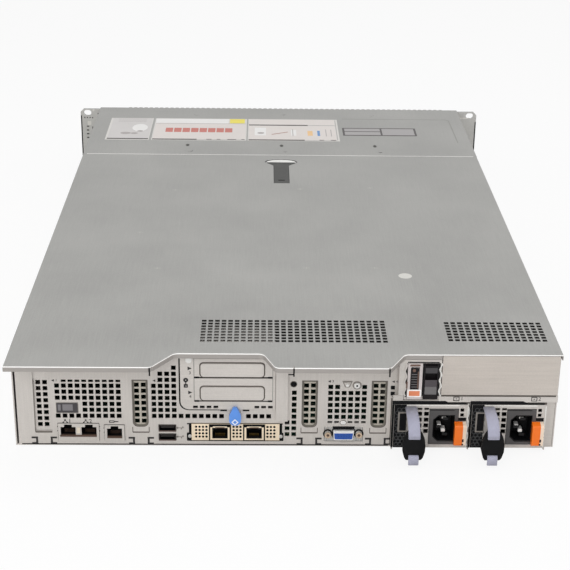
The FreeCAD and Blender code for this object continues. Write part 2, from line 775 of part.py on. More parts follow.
def tapered(width, height, slope):
    """Corners of a D-shaped outline, narrower along its lower edge."""
    x, z = width / 2, height / 2
    return [(VGA_X - x + slope, VGA_Z - z), (VGA_X + x - slope, VGA_Z - z),
            (VGA_X + x, VGA_Z + z), (VGA_X - x, VGA_Z + z)]


def vga_connector():
    """Display socket: flange plate, D-shaped insert and two threaded posts."""
    wide, tall = VGA_PLATE[0] / 2, VGA_PLATE[1] / 2
    plate = box(VGA_X - wide, VGA_X + wide, 0.4, 1.6, VGA_Z - tall, VGA_Z + tall)
    insert = wall_sheet(tapered(VGA_SHELL[0], VGA_SHELL[1], 1.2), [], -2.4, 9.0)
    posts = []
    for side in (-1, 1):
        x = VGA_X + side * VGA_SCREW_X
        post = drum((x, VGA_Z), VGA_SCREW_R, VGA_SIDES, on_xz(-2.8), Vector(0, 3.4, 0))
        bore = drum((x, VGA_Z), VGA_BORE_R, VGA_SIDES, on_xz(-2.8), Vector(0, 2.8, 0))
        posts.append(take(post, [bore]))
    body = box(VGA_X - wide, VGA_X + wide, 1.6, 12.0, BOARD_TOP + 0.3, VGA_Z + tall)
    return join([plate, insert, body] + posts)


def network_card_plate():
    """Face plate of the network card, with a window for each jack."""
    half = CARD_JACK_W / 2 + GAP
    points = [(CARD_X[0], CARD_Z[0]), (CARD_X[1], CARD_Z[0]), (CARD_X[1], CARD_Z[1]),
              (CARD_X[0], CARD_Z[1])]
    holes = [rectangle(x - half, x + half, CARD_Z[0] + 0.5, CARD_Z[1] - 0.8) for x in CARD_JACKS]
    back = SHEET - CARD_PROUD
    plate = wall_sheet(points, holes, -CARD_PROUD, back)
    returns = [box(x - SHEET, x, back, CARD_RETURN, CARD_Z[0] + 1.6, CARD_Z[1] - 1.0)
               for x in (CARD_X[0] + SHEET, CARD_X[1])]
    return join([plate] + returns)


def network_card():
    """The card's board with its two jacks."""
    solids = []
    half = CARD_JACK_W / 2
    low = CARD_Z[0] + 0.8
    top = CARD_Z[1] - 1.1
    for x in CARD_JACKS:
        well = jack_profile(x, low + 1.0, CARD_JACK_BORE)
        solids.append(jack_body(x - half, x + half, low, top, [well], -1.6))
    board = box(CARD_X[0] + 3.0, CARD_X[1] - 3.0, 3.0, CARD_DEPTH, low - BOARD_THICK + 1.8, low + 1.4)
    wells = [box(x - half, x + half, -1.6, JACK_BODY_DEPTH - 1.6, low, top) for x in CARD_JACKS]
    return join(solids + [take(board, wells)])


def psu_left(index):
    """Left side of a power supply."""
    return PSU_X + PSU_PITCH * index


def psu_case(index):
    """Power supply can, closed round the sides, with its perforated face."""
    x = psu_left(index)
    z0, z1 = PSU_Z, PSU_Z + PSU_H
    back = PSU_FACE + PSU_DEPTH
    can = box(x, x + PSU_W, PSU_FACE + SHEET, back, z0, z1)
    room = box(x + PSU_SKIN, x + PSU_W - PSU_SKIN, PSU_FACE + SHEET, back - PSU_SKIN,
               z0 + PSU_SKIN, z1 - PSU_SKIN)
    holes = [hole_at(x + u, z) for u in PSU_VENT_COLUMNS for z in PSU_VENT_Z]
    holes += [hole_at(x + u, PSU_VENT_TOP, HOLE, HALF_HOLE) for u in PSU_VENT_COLUMNS]
    holes += [hole_at(x + PSU_SMALL_U, z, PSU_SMALL_W, PSU_SMALL_W) for z in PSU_SMALL_Z]
    holes.append(rectangle(x + INLET_U[0] - GAP, x + INLET_U[1] + GAP,
                           INLET_Z[0] - GAP, INLET_Z[1] + GAP))
    stem_z = RELEASE_STEM[1] / 2 + GAP
    middle = sum(RELEASE_Z) / 2
    slot = (x + RELEASE_STEM_U - RELEASE_TRAVEL - GAP, x + RELEASE_STEM_U + RELEASE_STEM[0] + GAP)
    holes.append(rectangle(slot[0], slot[1], middle - stem_z, middle + stem_z))
    face = wall_sheet(rectangle(x, x + PSU_W, z0, z1), holes, PSU_FACE, PSU_FACE + SHEET)
    return join([face, take(can, [room])])


def psu_inlet(index):
    """Power inlet turned on its side: a well with three blades."""
    x = psu_left(index)
    x0, x1 = x + INLET_U[0], x + INLET_U[1]
    face = PSU_FACE - 0.6
    body = box(x0, x1, face, face + INLET_DEPTH, INLET_Z[0], INLET_Z[1])
    wide, tall = INLET_CAVITY
    cx, cz = x0 + wide / 2 + 3.4, sum(INLET_Z) / 2 - 1.2
    c = INLET_CHAMFER
    left, right, low, high = cx - wide / 2, cx + wide / 2, cz - tall / 2, cz + tall / 2
    shape = [(left + c, low), (right, low), (right, high), (left + c, high), (left, high - c),
             (left, low + c)]
    well = wall_sheet(shape, [], face, face + INLET_WELL)
    blades = []
    thin, long = PIN_SIZE
    for dx, dz in ((-3.4, 0.0), (1.6, 7.0), (1.6, -7.0)):
        blades.append(box(cx + dx - long / 2, cx + dx + long / 2, face + 3.0, face + INLET_WELL + 1.0,
                          cz + dz - thin / 2, cz + dz + thin / 2))
    return join([take(body, [well])] + blades)


def psu_release(index):
    """Release tongue that is squeezed sideways, on a stem through the face."""
    x = psu_left(index)
    x0, x1 = x + RELEASE_U[0], x + RELEASE_U[1]
    back = PSU_FACE - 1.0
    z0, z1 = RELEASE_Z
    profile = [(back, z0), (back, z1), (back - RELEASE_REACH, z1 - 1.5), (back - RELEASE_REACH, z0 + 1.5)]
    pad = side_sheet(profile, x0, x1, [0, 0, 1.5, 1.5])
    stem_x = x + RELEASE_STEM_U
    half = RELEASE_STEM[1] / 2
    middle = (z0 + z1) / 2
    stem = box(stem_x, stem_x + RELEASE_STEM[0], back - 1.0, PSU_FACE + 12.0,
               middle - half, middle + half)
    return join([pad, stem])


def bail_path():
    """Side profile of the pull handle, out from the face and back."""
    nose = -HANDLE_REACH + BAIL_THICK / 2 + STRAP_THICK + GAP
    return [(PSU_FACE, BAIL_TOP), (nose, BAIL_TOP), (nose, BAIL_BOTTOM), (PSU_FACE, BAIL_BOTTOM)]


def strap_slots(index):
    """The two slits in the handle's nose that the strap is threaded through."""
    x = psu_left(index) + BAIL_U
    nose = bail_path()[1][0]
    tools = []
    for z, width in zip(STRAP_SLOTS, (STRAP_W, STRAP_TAIL_W)):
        half = width / 2 + GAP
        tools.append(box(x - half, x + half, nose - BAIL_THICK, nose + BAIL_THICK,
                         z - STRAP_THICK / 2 - GAP, z + STRAP_THICK / 2 + GAP))
    return tools


def psu_handle(index):
    """Pull handle: a bent band, narrow under the strap and full at its nose."""
    x = psu_left(index) + BAIL_U
    half = BAIL_W / 2
    band = ribbon(bail_path(), [0, BAIL_R, BAIL_LOW_R, 0], BAIL_THICK, x - half, x + half)
    low, high = BAIL_BOTTOM - BAIL_THICK, BAIL_TOP + BAIL_THICK
    side = [(BAIL_SIDE[0][0], high)] + list(BAIL_SIDE) + [(BAIL_SIDE[-1][0], low)]
    front = [(x - a, z) for a, z in side] + [(x + a, z) for a, z in side[::-1]]
    mask = wall_sheet(front, [], -HANDLE_REACH, PSU_FACE)
    return take(band.common(mask), strap_slots(index))


def psu_strap(index):
    """Cable strap: over the handle, in at one slit and out at the next, with a free end."""
    x = psu_left(index) + BAIL_U
    nose = bail_path()[1][0]
    out = BAIL_THICK / 2 + GAP + STRAP_THICK / 2
    top = BAIL_TOP + out
    first, last = STRAP_SLOTS
    points = [(PSU_FACE - GAP, top), (nose - out, top), (nose - out, first), (nose + out, first),
              (nose + out, last), (nose - out, last), (nose - out, STRAP_END)]
    radii = [0, BAIL_R + out, 0, 0, 0, 0, 0]
    half, tail = STRAP_W / 2, STRAP_TAIL_W / 2
    strip = ribbon(points, radii, STRAP_THICK, x - half, x + half)
    split = first - STRAP_THICK
    front = [(x - tail, 0.0), (x + tail, 0.0), (x + tail, split), (x + half, split),
             (x + half, ROOF_Z), (x - half, ROOF_Z), (x - half, split), (x - tail, split)]
    return strip.common(wall_sheet(front, [], -HANDLE_REACH - 1, PSU_FACE))


def psu_cage():
    """Cage for two power supplies: ceiling with its face strip, three walls and skids."""
    left = PSU_X - GAP
    divider = PSU_X + PSU_W + (PSU_PITCH - PSU_W) / 2
    right = psu_left(1) + PSU_W + GAP
    side = HALF - SHEET - GAP
    top = CAGE_TOP
    face = PSU_FACE + SHEET
    pieces = [
        box(left - SHEET, left, face, CAGE_DEPTH, SHEET, top),
        box(divider - SHEET / 2, divider + SHEET / 2, face, CAGE_DEPTH, SHEET, top),
        box(right, right + SHEET, face, CAGE_DEPTH, SHEET, top),
        box(left - SHEET, side, face, CAGE_DEPTH, top, top + SHEET),
        box(left - SHEET, side, PSU_FACE, face, top - 0.4, CAGE_STRIP_TOP),
        box(right, side, 0.0, SHEET, SHEET, top),
    ]
    for index in range(2):
        for u in (4.0, PSU_W - 4.0 - SKID_W):
            x = psu_left(index) + u
            pieces.append(box(x, x + SKID_W, 0.0, CAGE_DEPTH, SHEET, PSU_Z - GAP))
    base = box(left - SHEET, right + SHEET, 0.0, CAGE_DEPTH, SHEET, 2 * SHEET)
    body = join(pieces + [base])
    bay = box(BAY_X[0] + 4.0, BAY_X[1] - 1.0, PSU_FACE, face, top + SHEET, CAGE_STRIP_TOP)
    return take(body, [bay])


def psu_blank():
    """Plain panel over the power supplies, with returns that hold it."""
    x0, x1 = BLANK_X
    z0, z1 = BLANK_Z
    face = box(x0, x1, PSU_FACE, PSU_FACE + SHEET, z0, z1)
    back = PSU_FACE + SHEET + BLANK_RETURN
    returns = [
        box(x0, x0 + SHEET, PSU_FACE + SHEET, back, z0, z1),
        box(x0, x1 - 1.0, PSU_FACE + SHEET, back, z0, z0 + SHEET),
        box(x0, x1 - 1.0, PSU_FACE + SHEET, back, z1 - SHEET, z1),
    ]
    foot = box(x0 + 10.0, x1 - 10.0, back - SHEET, back, CAGE_TOP + SHEET + GAP, z0)
    return join([face] + returns + [foot])


def module_bay():
    """Sleeve for two small storage modules, open to the rear."""
    x0, x1 = BAY_X
    z0, z1 = CAGE_TOP + SHEET + GAP, BAY_TOP
    front = PSU_FACE - 0.2
    body = box(x0, x1, front + SHEET, BAY_LENGTH, z0, z1)
    plate = box(x0, x1, front, front + SHEET, CAGE_STRIP_TOP + GAP - 3.6, z1)
    tools = []
    for x in MODULE_X:
        tools.append(box(x - GAP, x + MODULE_W + GAP, front, BAY_LENGTH - 2.0,
                         MODULE_Z - GAP, MODULE_Z + MODULE_H + GAP))
    hollow = box(x0 + SHEET, MODULE_X[0] - GAP - SHEET, front + SHEET, BAY_LENGTH, z0, z1 - SHEET)
    top = box(x0 + SHEET, x1 - SHEET, front + SHEET, BAY_LENGTH, MODULE_Z + MODULE_H + GAP + SHEET,
              z1 - SHEET)
    strip = box(x0 - 1, BAY_X[0] + 4.0 + GAP, front - 1, PSU_FACE + SHEET + GAP, z0 - 1,
                CAGE_STRIP_TOP + GAP)
    end = box(BAY_X[1] - 1.0 - GAP, x1 + 1, front - 1, PSU_FACE + SHEET + GAP, z0 - 1,
              CAGE_STRIP_TOP + GAP)
    return take(join([body, plate]), tools + [hollow, top, strip, end])


def storage_module(x, louvred):
    """A storage module: a long case with a stepped face."""
    z0, z1 = MODULE_Z, MODULE_Z + MODULE_H
    front = PSU_FACE - 0.8
    case = box(x, x + MODULE_W, front, front + MODULE_LENGTH, z0, z1)
    side = 2.4
    if louvred:
        well = box(x + side, x + MODULE_W - side, front, front + 3.0, z0 + 8.0, z1 - 3.0)
        ribs = [box(x + side, x + MODULE_W - side - 1.4, front + 1.0, front + 3.0,
                    z0 + 9.4 + 2.7 * i, z0 + 10.6 + 2.7 * i) for i in range(5)]
        return join([take(case, [well])] + ribs)
    well = box(x + 1.0, x + MODULE_W - 1.0, front, front + 5.0, z0 + 15.0, z1 - 7.6)
    notch = box(x + 1.0, x + MODULE_W - 1.0, front, front + 2.0, z1 - 2.2, z1)
    return take(case, [well, notch])


def main_board():
    """Board under the sockets, stepped round the power supply cage, with its standoffs."""
    z0 = BOARD_TOP - BOARD_THICK
    cage = PSU_X - GAP - SHEET
    points = [(-210, BOARD_START), (cage - 1, BOARD_START), (cage - 1, CAGE_DEPTH + 6), (205, CAGE_DEPTH + 6),
              (205, BOARD_END), (-210, BOARD_END)]
    board = roof_sheet(points, [], z0, BOARD_TOP)
    standoffs = [box(x - 3, x + 3, y - 3, y + 3, SHEET, z0)
                 for x in (-190, 0, 70) for y in (30, 385)]
    return join([board] + standoffs)


def heat_sinks():
    """Two processor heat sinks with upright fins."""
    solids = []
    wide, deep, tall = SINK
    for x in SINKS_X:
        base = box(x, x + wide, SINK_Y, SINK_Y + deep, BOARD_TOP, BOARD_TOP + SINK_BASE)
        step = (wide - FIN) / (FIN_COUNT - 1)
        fins = [box(x + step * i, x + step * i + FIN, SINK_Y, SINK_Y + deep,
                    BOARD_TOP + SINK_BASE, BOARD_TOP + tall) for i in range(FIN_COUNT)]
        solids.append(join([base] + fins))
    return solids


def memory_modules():
    """Banks of memory modules on the board."""
    thick, deep, tall = DIMM
    y = SINK_Y - 10
    return [box(x + DIMM_PITCH * i, x + DIMM_PITCH * i + thick, y, y + deep, BOARD_TOP, BOARD_TOP + tall)
            for x in DIMM_X for i in range(DIMM_PER_BANK)]


def fan_x(index):
    """Middle of one fan."""
    return FAN_PITCH * (index - (FAN_COUNT - 1) / 2)


def fan_frame(index):
    """Fan housing: a square tube with a round bore and a motor boss on three arms."""
    x, half = fan_x(index), FAN_SIZE / 2
    body = box(x - half, x + half, FAN_Y, FAN_Y + FAN_DEPTH, FAN_Z - half, FAN_Z + half)
    bore = drum((x, FAN_Z), FAN_BORE, FAN_SIDES, on_xz(FAN_Y), Vector(0, FAN_DEPTH, 0))
    boss = drum((x, FAN_Z), FAN_HUB, FAN_SIDES, on_xz(FAN_Y), Vector(0, FAN_BOSS, 0))
    arms = []
    for turn in (90, 210, 330):
        arm = box(x - 2, x + 2, FAN_Y, FAN_Y + 4, FAN_Z + FAN_HUB - 2, FAN_Z + FAN_BORE + 1)
        arm.rotate(Vector(x, 0, FAN_Z), Vector(0, 1, 0), turn)
        arms.append(arm)
    feet = box(x - half, x + half, FAN_Y, FAN_Y + FAN_DEPTH, SHEET, FAN_Z - half)
    return join([take(body, [bore]), boss, feet] + arms)


def fan_rotor(index):
    """Fan wheel: a hub with pitched blades."""
    x = fan_x(index)
    start = FAN_Y + FAN_BOSS + GAP
    length = FAN_DEPTH - FAN_BOSS - 2 * GAP
    hub = drum((x, FAN_Z), FAN_HUB, FAN_SIDES, on_xz(start), Vector(0, length, 0))
    blades = []
    for i in range(FAN_BLADES):
        near = [(x - 9, start + 1), (x - 6, start + 1), (x + 9, start + length - 1),
                (x + 6, start + length - 1)]
        blade = roof_sheet(near, [], FAN_Z + FAN_HUB - 3, FAN_Z + FAN_BLADE_R - 2.5)
        blade.rotate(Vector(x, 0, FAN_Z), Vector(0, 1, 0), 360 / FAN_BLADES * i)
        blades.append(blade)
    return join([hub] + blades)


def drive_x(column):
    """Middle of one drive column."""
    return DRIVE_PITCH * (column - (BAYS - 1) / 2)


def cage_roof():
    """Underside of the drive cage's roof."""
    return CARRIER_Z + ROW_PITCH + CARRIER_H + GAP


def drive_cage():
    """Walls between the drives, with a shelf and a roof."""
    start, stop = BACKPLANE_Y + 6.0, EAR_Y
    half = DRIVE_PITCH * BAYS / 2
    row = CARRIER_Z + CARRIER_H + (ROW_PITCH - CARRIER_H) / 2
    top = cage_roof()
    plates = [box(-half, half, start, stop, top, top + SHEET), box(-half, half, start, stop, SHEET, 2 * SHEET)]
    shelf = box(-half, half, start, stop, row - SHEET / 2, row + SHEET / 2)
    plates.append(shelf)
    for i in range(BAYS + 1):
        x = DRIVE_PITCH * i - half
        plates.append(box(x - SHEET / 2, x + SHEET / 2, start, stop, SHEET, top))
    runners = [box(drive_x(c) + side * 40 - 3, drive_x(c) + side * 40 + 3, start, stop,
                   SHEET, CARRIER_Z - GAP) for c in range(BAYS) for side in (-1, 1)]
    upper = [box(drive_x(c) + side * 40 - 3, drive_x(c) + side * 40 + 3, start, stop,
                 row + SHEET / 2, CARRIER_Z + ROW_PITCH - GAP) for c in range(BAYS) for side in (-1, 1)]
    return join(plates + runners + upper)


def drive_carrier(column):
    """Carrier: a face with a pocket for its lever, two rails and a hinge pin."""
    x, z = drive_x(column), CARRIER_Z
    half = CARRIER_W / 2
    front, back = FRONT_Y, FRONT_Y - BEZEL_DEPTH
    face = box(x - half, x + half, back, front, z, z + CARRIER_H)
    wide, thick, tall = LEVER
    lz = z + (CARRIER_H - tall) / 2
    pivot = (x - wide / 2, front - LEVER_KNUCKLE)
    pocket = box(pivot[0] - LEVER_KNUCKLE - GAP, x + wide / 2 + GAP, front - thick - GAP, front,
                 lz - GAP, lz + tall + GAP)
    rail = (CARRIER_W - DISK[0]) / 2
    rails = [box(x - half, x - half + rail, front - CARRIER_LENGTH, back, z, z + CARRIER_H - 4),
             box(x + half - rail, x + half, front - CARRIER_LENGTH, back, z, z + CARRIER_H - 4)]
    pin = rod(LEVER_PIN, tall + 2, (pivot[0], pivot[1], lz - 1), (0, 0, 1))
    return join([take(face, [pocket]), pin] + rails)


def hard_disk(column):
    """Disk drive between its carrier's rails."""
    wide, long, tall = DISK
    x = drive_x(column)
    stop = FRONT_Y - BEZEL_DEPTH
    block = box(x - wide / 2, x + wide / 2, stop - long, stop, CARRIER_Z + 0.4, CARRIER_Z + 0.4 + tall - 3)
    lid = box(x - wide / 2 + 3, x + wide / 2 - 3, stop - long + 3, stop - 12, CARRIER_Z + tall - 2.6,
              CARRIER_Z + 0.4 + tall)
    return join([block, lid])


def drive_lever(column):
    """Ejector lever that swings out of the carrier's face on its pin."""
    wide, thick, tall = LEVER
    x = drive_x(column)
    z = CARRIER_Z + (CARRIER_H - tall) / 2
    pivot = (x - wide / 2, FRONT_Y - LEVER_KNUCKLE)
    knuckle = drum(pivot, LEVER_KNUCKLE, KNUCKLE_SIDES, on_xy(z), Vector(0, 0, tall))
    arm = box(pivot[0], x + wide / 2, FRONT_Y - LEVER_KNUCKLE, FRONT_Y, z, z + tall)
    catch = box(x + wide / 2 - 4, x + wide / 2, FRONT_Y - thick, FRONT_Y - LEVER_KNUCKLE, z + 4, z + tall - 4)
    bore = rod(LEVER_PIN + RUN_FIT, tall, (pivot[0], pivot[1], z), (0, 0, 1))
    return take(join([knuckle, arm, catch]), [bore])


def drive_blanks():
    """Filler trays in the upper row of bays."""
    solids = []
    half = CARRIER_W / 2
    z = CARRIER_Z + ROW_PITCH
    for column in range(BAYS):
        x = drive_x(column)
        tray = box(x - half, x + half, FRONT_Y - 60, FRONT_Y, z, z + CARRIER_H)
        room = box(x - half + 2, x + half - 2, FRONT_Y - 60, FRONT_Y - 3, z + 2, z + CARRIER_H - 2)
        grip = box(x - 30, x + 30, FRONT_Y - 1.4, FRONT_Y, z + 8, z + 19)
        solids.append(take(tray, [room, grip]))
    return solids


def front_vent():
    """Slotted panel over the drives, with a return under the roof."""
    z0, z1 = cage_roof() + SHEET + GAP, UNDER_ROOF - GAP
    half = DRIVE_PITCH * BAYS / 2
    step = 2 * half / VENT_SLOTS
    middle = (z0 + z1) / 2
    tall = z1 - z0 - 2 * VENT_FRAME
    holes = [hole_at(step * (i + 0.5) - half, middle, VENT_SLOT_W, tall) for i in range(VENT_SLOTS)]
    face = EAR_Y + VENT_REACH
    plate = wall_sheet(rectangle(-half, half, z0, z1), holes, face, face + SHEET)
    shelf = box(-half, half, EAR_Y - 40, face, z1 - SHEET, z1)
    low = box(-half, half, EAR_Y - 40, face, z0, z0 + SHEET)
    return join([plate, shelf, low])


def backplane():
    """Board behind the drives, held between the tray and its own foot."""
    half = DRIVE_PITCH * BAYS / 2 - 2
    board = box(-half, half, BACKPLANE_Y, BACKPLANE_Y + 2.0, SHEET, 60.0)
    sockets = [box(drive_x(c) - 20, drive_x(c) + 20, BACKPLANE_Y + 2.0, BACKPLANE_Y + 8.0,
                   CARRIER_Z + ROW_PITCH * r + 6, CARRIER_Z + ROW_PITCH * r + 11)
               for c in range(BAYS) for r in range(2)]
    return join([board] + sockets)


def rack_ear(side):
    """Ear with two rack slots, a foot along the chassis and a control housing in front."""
    inner, outer = HALF, EAR_SPAN / 2
    z0, z1 = EAR_Z
    c = EAR_CHAMFER
    points = [(inner, z0), (outer - c, z0), (outer, z0 + c), (outer, z1 - c), (outer - c, z1),
              (inner, z1)]
    middle = ROOF_Z / 2
    plate = wall_sheet(points, [], EAR_Y, EAR_Y + EAR_THICK)
    slots = []
    for up in (-1, 1):
        corners = hole_at(RACK_HOLES_X / 2, middle + up * RACK_HOLES_Z / 2, *RACK_SLOT)
        slots.append(wall_sheet(corners, [], EAR_Y, EAR_Y + EAR_THICK, [RACK_SLOT[1] / 2 - 0.01] * 4))
    plate = take(plate, slots)
    foot = box(inner, inner + SHEET, EAR_Y - 46, EAR_Y, z0 + 6, z1 - 10)
    z0, z1 = CONTROL_Z
    housing = wall_sheet(rectangle(inner, inner + CONTROL_W, z0, z1), [], EAR_Y + EAR_THICK,
                         FRONT_Y - CONTROL_BACK, [0, 2, 2, 0])
    body = join([plate, foot, housing])
    if side > 0:
        x = inner + CONTROL_W / 2
        seat = drum((x, BUTTON_Z), BUTTON_R + GAP, BUTTON_SIDES, on_xz(FRONT_Y - BUTTON_SEAT),
                    Vector(0, BUTTON_SEAT, 0))
        return take(body, [seat])
    return body.mirror(Vector(0, 0, 0), Vector(1, 0, 0))


def power_button():
    """Round push button in the right ear."""
    x = HALF + CONTROL_W / 2
    start = FRONT_Y - BUTTON_SEAT + BUTTON_TRAVEL + GAP
    stop = FRONT_Y - CONTROL_BACK + BUTTON_PROUD
    return drum((x, BUTTON_Z), BUTTON_R, BUTTON_SIDES, on_xz(start), Vector(0, stop - start, 0))


def rail_studs():
    """Shouldered studs on both sides that hang the chassis in its slide rails."""
    solids = []
    for y in STUDS_Y:
        for side in (-1, 1):
            neck = drum((y, STUD_Z), STUD_R, NECK_SIDES, on_yz(side * HALF),
                        Vector(side * STUD_NECK, 0, 0))
            head = drum((y, STUD_Z), STUD_HEAD_R, STUD_SIDES, on_yz(side * (HALF + STUD_NECK)),
                        Vector(side * STUD_HEAD, 0, 0))
            solids.append(join([neck, head]))
    return solids


def main():
    """Build and write every piece."""
    os.makedirs("parts", exist_ok=True)
    save("chassis_tray", chassis_tray())
    save("rear_wall", rear_wall())
    save("socket_panel", socket_panel())
    save("top_cover", top_cover())
    save("latch_base", latch_base())
    save("latch_handle", latch_handle())
    save("front_cover", front_cover())
    flush = slot_bracket(BRACKETS[0], BRACKET_ROW_TOP, BRACKET_ROWS)
    deep = [slot_bracket(x, DEEP_ROW_TOP, DEEP_ROWS) for x in BRACKETS[1:]]
    save("slot_brackets", flush, *deep)
    save("riser_panel", riser_panel())
    middle = FILLER_SPLIT
    upper = slot_filler(middle + GAP, RISER_WINDOW_Z[1] - GAP)
    lower = slot_filler(RISER_WINDOW_Z[0] + GAP, middle - GAP)
    save("slot_fillers", upper, lower)
    save("release_tab", release_tab())
    save("lan_sockets", *lan_sockets())
    save("usb_sockets", usb_sockets())
    save("vga_connector", vga_connector())
    save("network_card_plate", network_card_plate())
    save("network_card", network_card())
    for index in range(2):
        name = f"psu_{index + 1}_"
        save(name + "case", psu_case(index))
        save(name + "inlet", psu_inlet(index))
        save(name + "release", psu_release(index))
        save(name + "handle", psu_handle(index))
        save(name + "strap", psu_strap(index))
    save("psu_cage", psu_cage())
    save("psu_blank", psu_blank())
    save("module_bay", module_bay())
    save("storage_module", storage_module(MODULE_X[0], True))
    save("module_blank", storage_module(MODULE_X[1], False))
    save("circuit_boards", main_board(), backplane())
    save("heat_sinks", *heat_sinks())
    save("memory_modules", *memory_modules())
    save("fan_frames", *[fan_frame(i) for i in range(FAN_COUNT)])
    for index in range(FAN_COUNT):
        save(f"fan_rotor_{index + 1}", fan_rotor(index))
    save("drive_cage", drive_cage())
    for column in range(BAYS):
        save(f"drive_carrier_{column + 1}", drive_carrier(column))
        save(f"hard_disk_{column + 1}", hard_disk(column))
        save(f"drive_lever_{column + 1}", drive_lever(column))
    save("drive_blanks", *drive_blanks())
    save("front_vent", front_vent())
    save("rack_ear_left", rack_ear(-1))
    save("rack_ear_right", rack_ear(1))
    save("power_button", power_button())
    save("rail_studs", *rail_studs())


main()
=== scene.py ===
"""Looks of a two-unit rack-mount video recorder: finishes, small pieces, camera and light.

Sizes in the classes are millimetres in the rear wall's own measure: x to the right as seen
from behind, y from the outside face of the rear wall towards the drives, z up from the
underside. Surfaces are worked out as arrays in (across, up, out) and then faced rearwards,
frontwards or upwards.
"""

import logging
import math
from collections.abc import Sequence
from dataclasses import dataclass
from enum import Enum

import bmesh
import bpy
import numpy as np
from mathutils import Matrix, Vector


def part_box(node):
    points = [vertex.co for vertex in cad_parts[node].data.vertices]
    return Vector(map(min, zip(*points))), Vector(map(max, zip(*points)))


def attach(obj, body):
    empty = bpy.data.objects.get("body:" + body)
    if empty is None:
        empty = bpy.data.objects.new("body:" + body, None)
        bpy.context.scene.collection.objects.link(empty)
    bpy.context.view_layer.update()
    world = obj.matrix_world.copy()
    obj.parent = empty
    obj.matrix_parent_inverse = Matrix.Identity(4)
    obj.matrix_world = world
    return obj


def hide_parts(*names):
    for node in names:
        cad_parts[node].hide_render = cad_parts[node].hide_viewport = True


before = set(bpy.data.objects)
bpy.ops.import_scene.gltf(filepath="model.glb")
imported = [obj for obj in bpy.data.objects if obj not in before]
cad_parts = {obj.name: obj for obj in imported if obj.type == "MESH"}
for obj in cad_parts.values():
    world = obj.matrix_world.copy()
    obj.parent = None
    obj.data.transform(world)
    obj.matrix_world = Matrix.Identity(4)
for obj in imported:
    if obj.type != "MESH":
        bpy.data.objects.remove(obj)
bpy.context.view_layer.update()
WALL_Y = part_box("chassis_tray")[0].y
MM = 0.001
ROOF_TOP = 86.6
# How far flat marks and the slightly higher prints stand out.
THIN = 0.1
INK = 0.12
SIDES = (-1, 1)
CONTACT_PITCH = 1.02
log = logging.getLogger("recorder")

Colour = tuple[float, float, float]
Place = tuple[float, float, float]
Span = tuple[float, float]
Spots = Sequence[tuple[float, float]]
ORIGIN: Spots = ((0.0, 0.0),)


def screen(red: int, green: int, blue: int) -> Colour:
    """Linear colour of a screen colour: the power curve of the screen undone per channel.

    Args:
        red: red as seen on a screen, 0 to 255.
        green: green as seen on a screen.
        blue: blue as seen on a screen.

    Returns:
        The linear colour.
    """
    value = np.array([red, green, blue]) / 255.0
    linear = np.where(value > 0.04045, ((value + 0.055) / 1.055) ** 2.4, value / 12.92)
    return tuple(float(part) for part in linear)


def shade(colour: Colour, share: float, more: float = 0.0) -> Colour:
    """A colour made darker or lighter.

    Args:
        colour: the colour.
        share: what each channel is multiplied by.
        more: what is added to it then.

    Returns:
        The new colour, with no channel over one.
    """
    return tuple(min(1.0, part * share + more) for part in colour)


class Facing(Enum):
    """The way that a flat piece looks."""

    REAR = "rear"
    FRONT = "front"
    ROOF = "roof"


class Grain(Enum):
    """The direction in which a sheet was rolled, as the stretch of its streaks."""

    ALONG_X = (0.03, 1.0, 1.0)
    ALONG_Y = (1.0, 0.03, 1.0)
    ALONG_Z = (1.0, 1.0, 0.03)


@dataclass
class Surface:
    """Corners, faces and the places along a strip of one mesh."""

    corners: np.ndarray
    faces: list[list[int]]
    along: np.ndarray | None = None


def loft(rings: np.ndarray, wrap: bool = False) -> Surface:
    """Skin over a stack of rings: corner i of ring k joins corner i + 1 and ring k + 1.

    Args:
        rings: array of rings, corners and three coordinates.
        wrap: joins the last ring to the first; otherwise both are closed.

    Returns:
        The surface, with its corners in ring order.
    """
    count, size = rings.shape[:2]
    level = np.arange(count if wrap else count - 1)[:, None] * size
    turn = np.arange(size)[None, :]
    low, high = level + turn, level + (turn + 1) % size
    total = count * size
    quads = np.stack([low, high, (high + size) % total, (low + size) % total], axis=-1)
    faces = quads.reshape(-1, 4).tolist()
    if not wrap:
        faces += [list(range(size))[::-1], list(range(total - size, total))]
    return Surface(rings.reshape(-1, 3), faces)


def merge(surfaces: list[Surface]) -> Surface:
    """One surface from several, corner numbers counted on from one to the next.

    Args:
        surfaces: the surfaces to put together.

    Returns:
        The joined surface.
    """
    starts = np.cumsum([0] + [len(s.corners) for s in surfaces])
    faces = [[int(start) + i for i in face] for s, start in zip(surfaces, starts) for face in s.faces]
    return Surface(np.concatenate([s.corners for s in surfaces]), faces)


def rounded(width: float, height: float, radius: float = 0.0, steps: int = 3) -> np.ndarray:
    """Outline of a rectangle about the origin: four corner centres plus a turning radius.

    Args:
        width: full width.
        height: full height.
        radius: corner radius.
        steps: steps round each corner.

    Returns:
        Corners, turning left.
    """
    if radius <= 0:
        return np.array([(-1, -1), (1, -1), (1, 1), (-1, 1)]) * np.array([width / 2, height / 2])
    middle = np.array([(1, 1), (-1, 1), (-1, -1), (1, -1)])
    centres = middle * np.array([width / 2 - radius, height / 2 - radius])
    turn = np.linspace(0, np.pi / 2, steps + 1)[None, :] + np.arange(4)[:, None] * np.pi / 2
    ring = np.stack([np.cos(turn), np.sin(turn)], axis=-1) * radius
    return (centres[:, None, :] + ring).reshape(-1, 2)


def disc(radius: float, sides: int = 24, flat: float = 0.0) -> np.ndarray:
    """Outline of an even polygon: cosine and sine of even turns.

    Args:
        radius: corner radius.
        sides: number of sides.
        flat: turn of the first corner, in radians.

    Returns:
        Corners, turning left.
    """
    turn = np.arange(sides) * 2 * np.pi / sides + flat
    return np.stack([np.cos(turn), np.sin(turn)], axis=-1) * radius


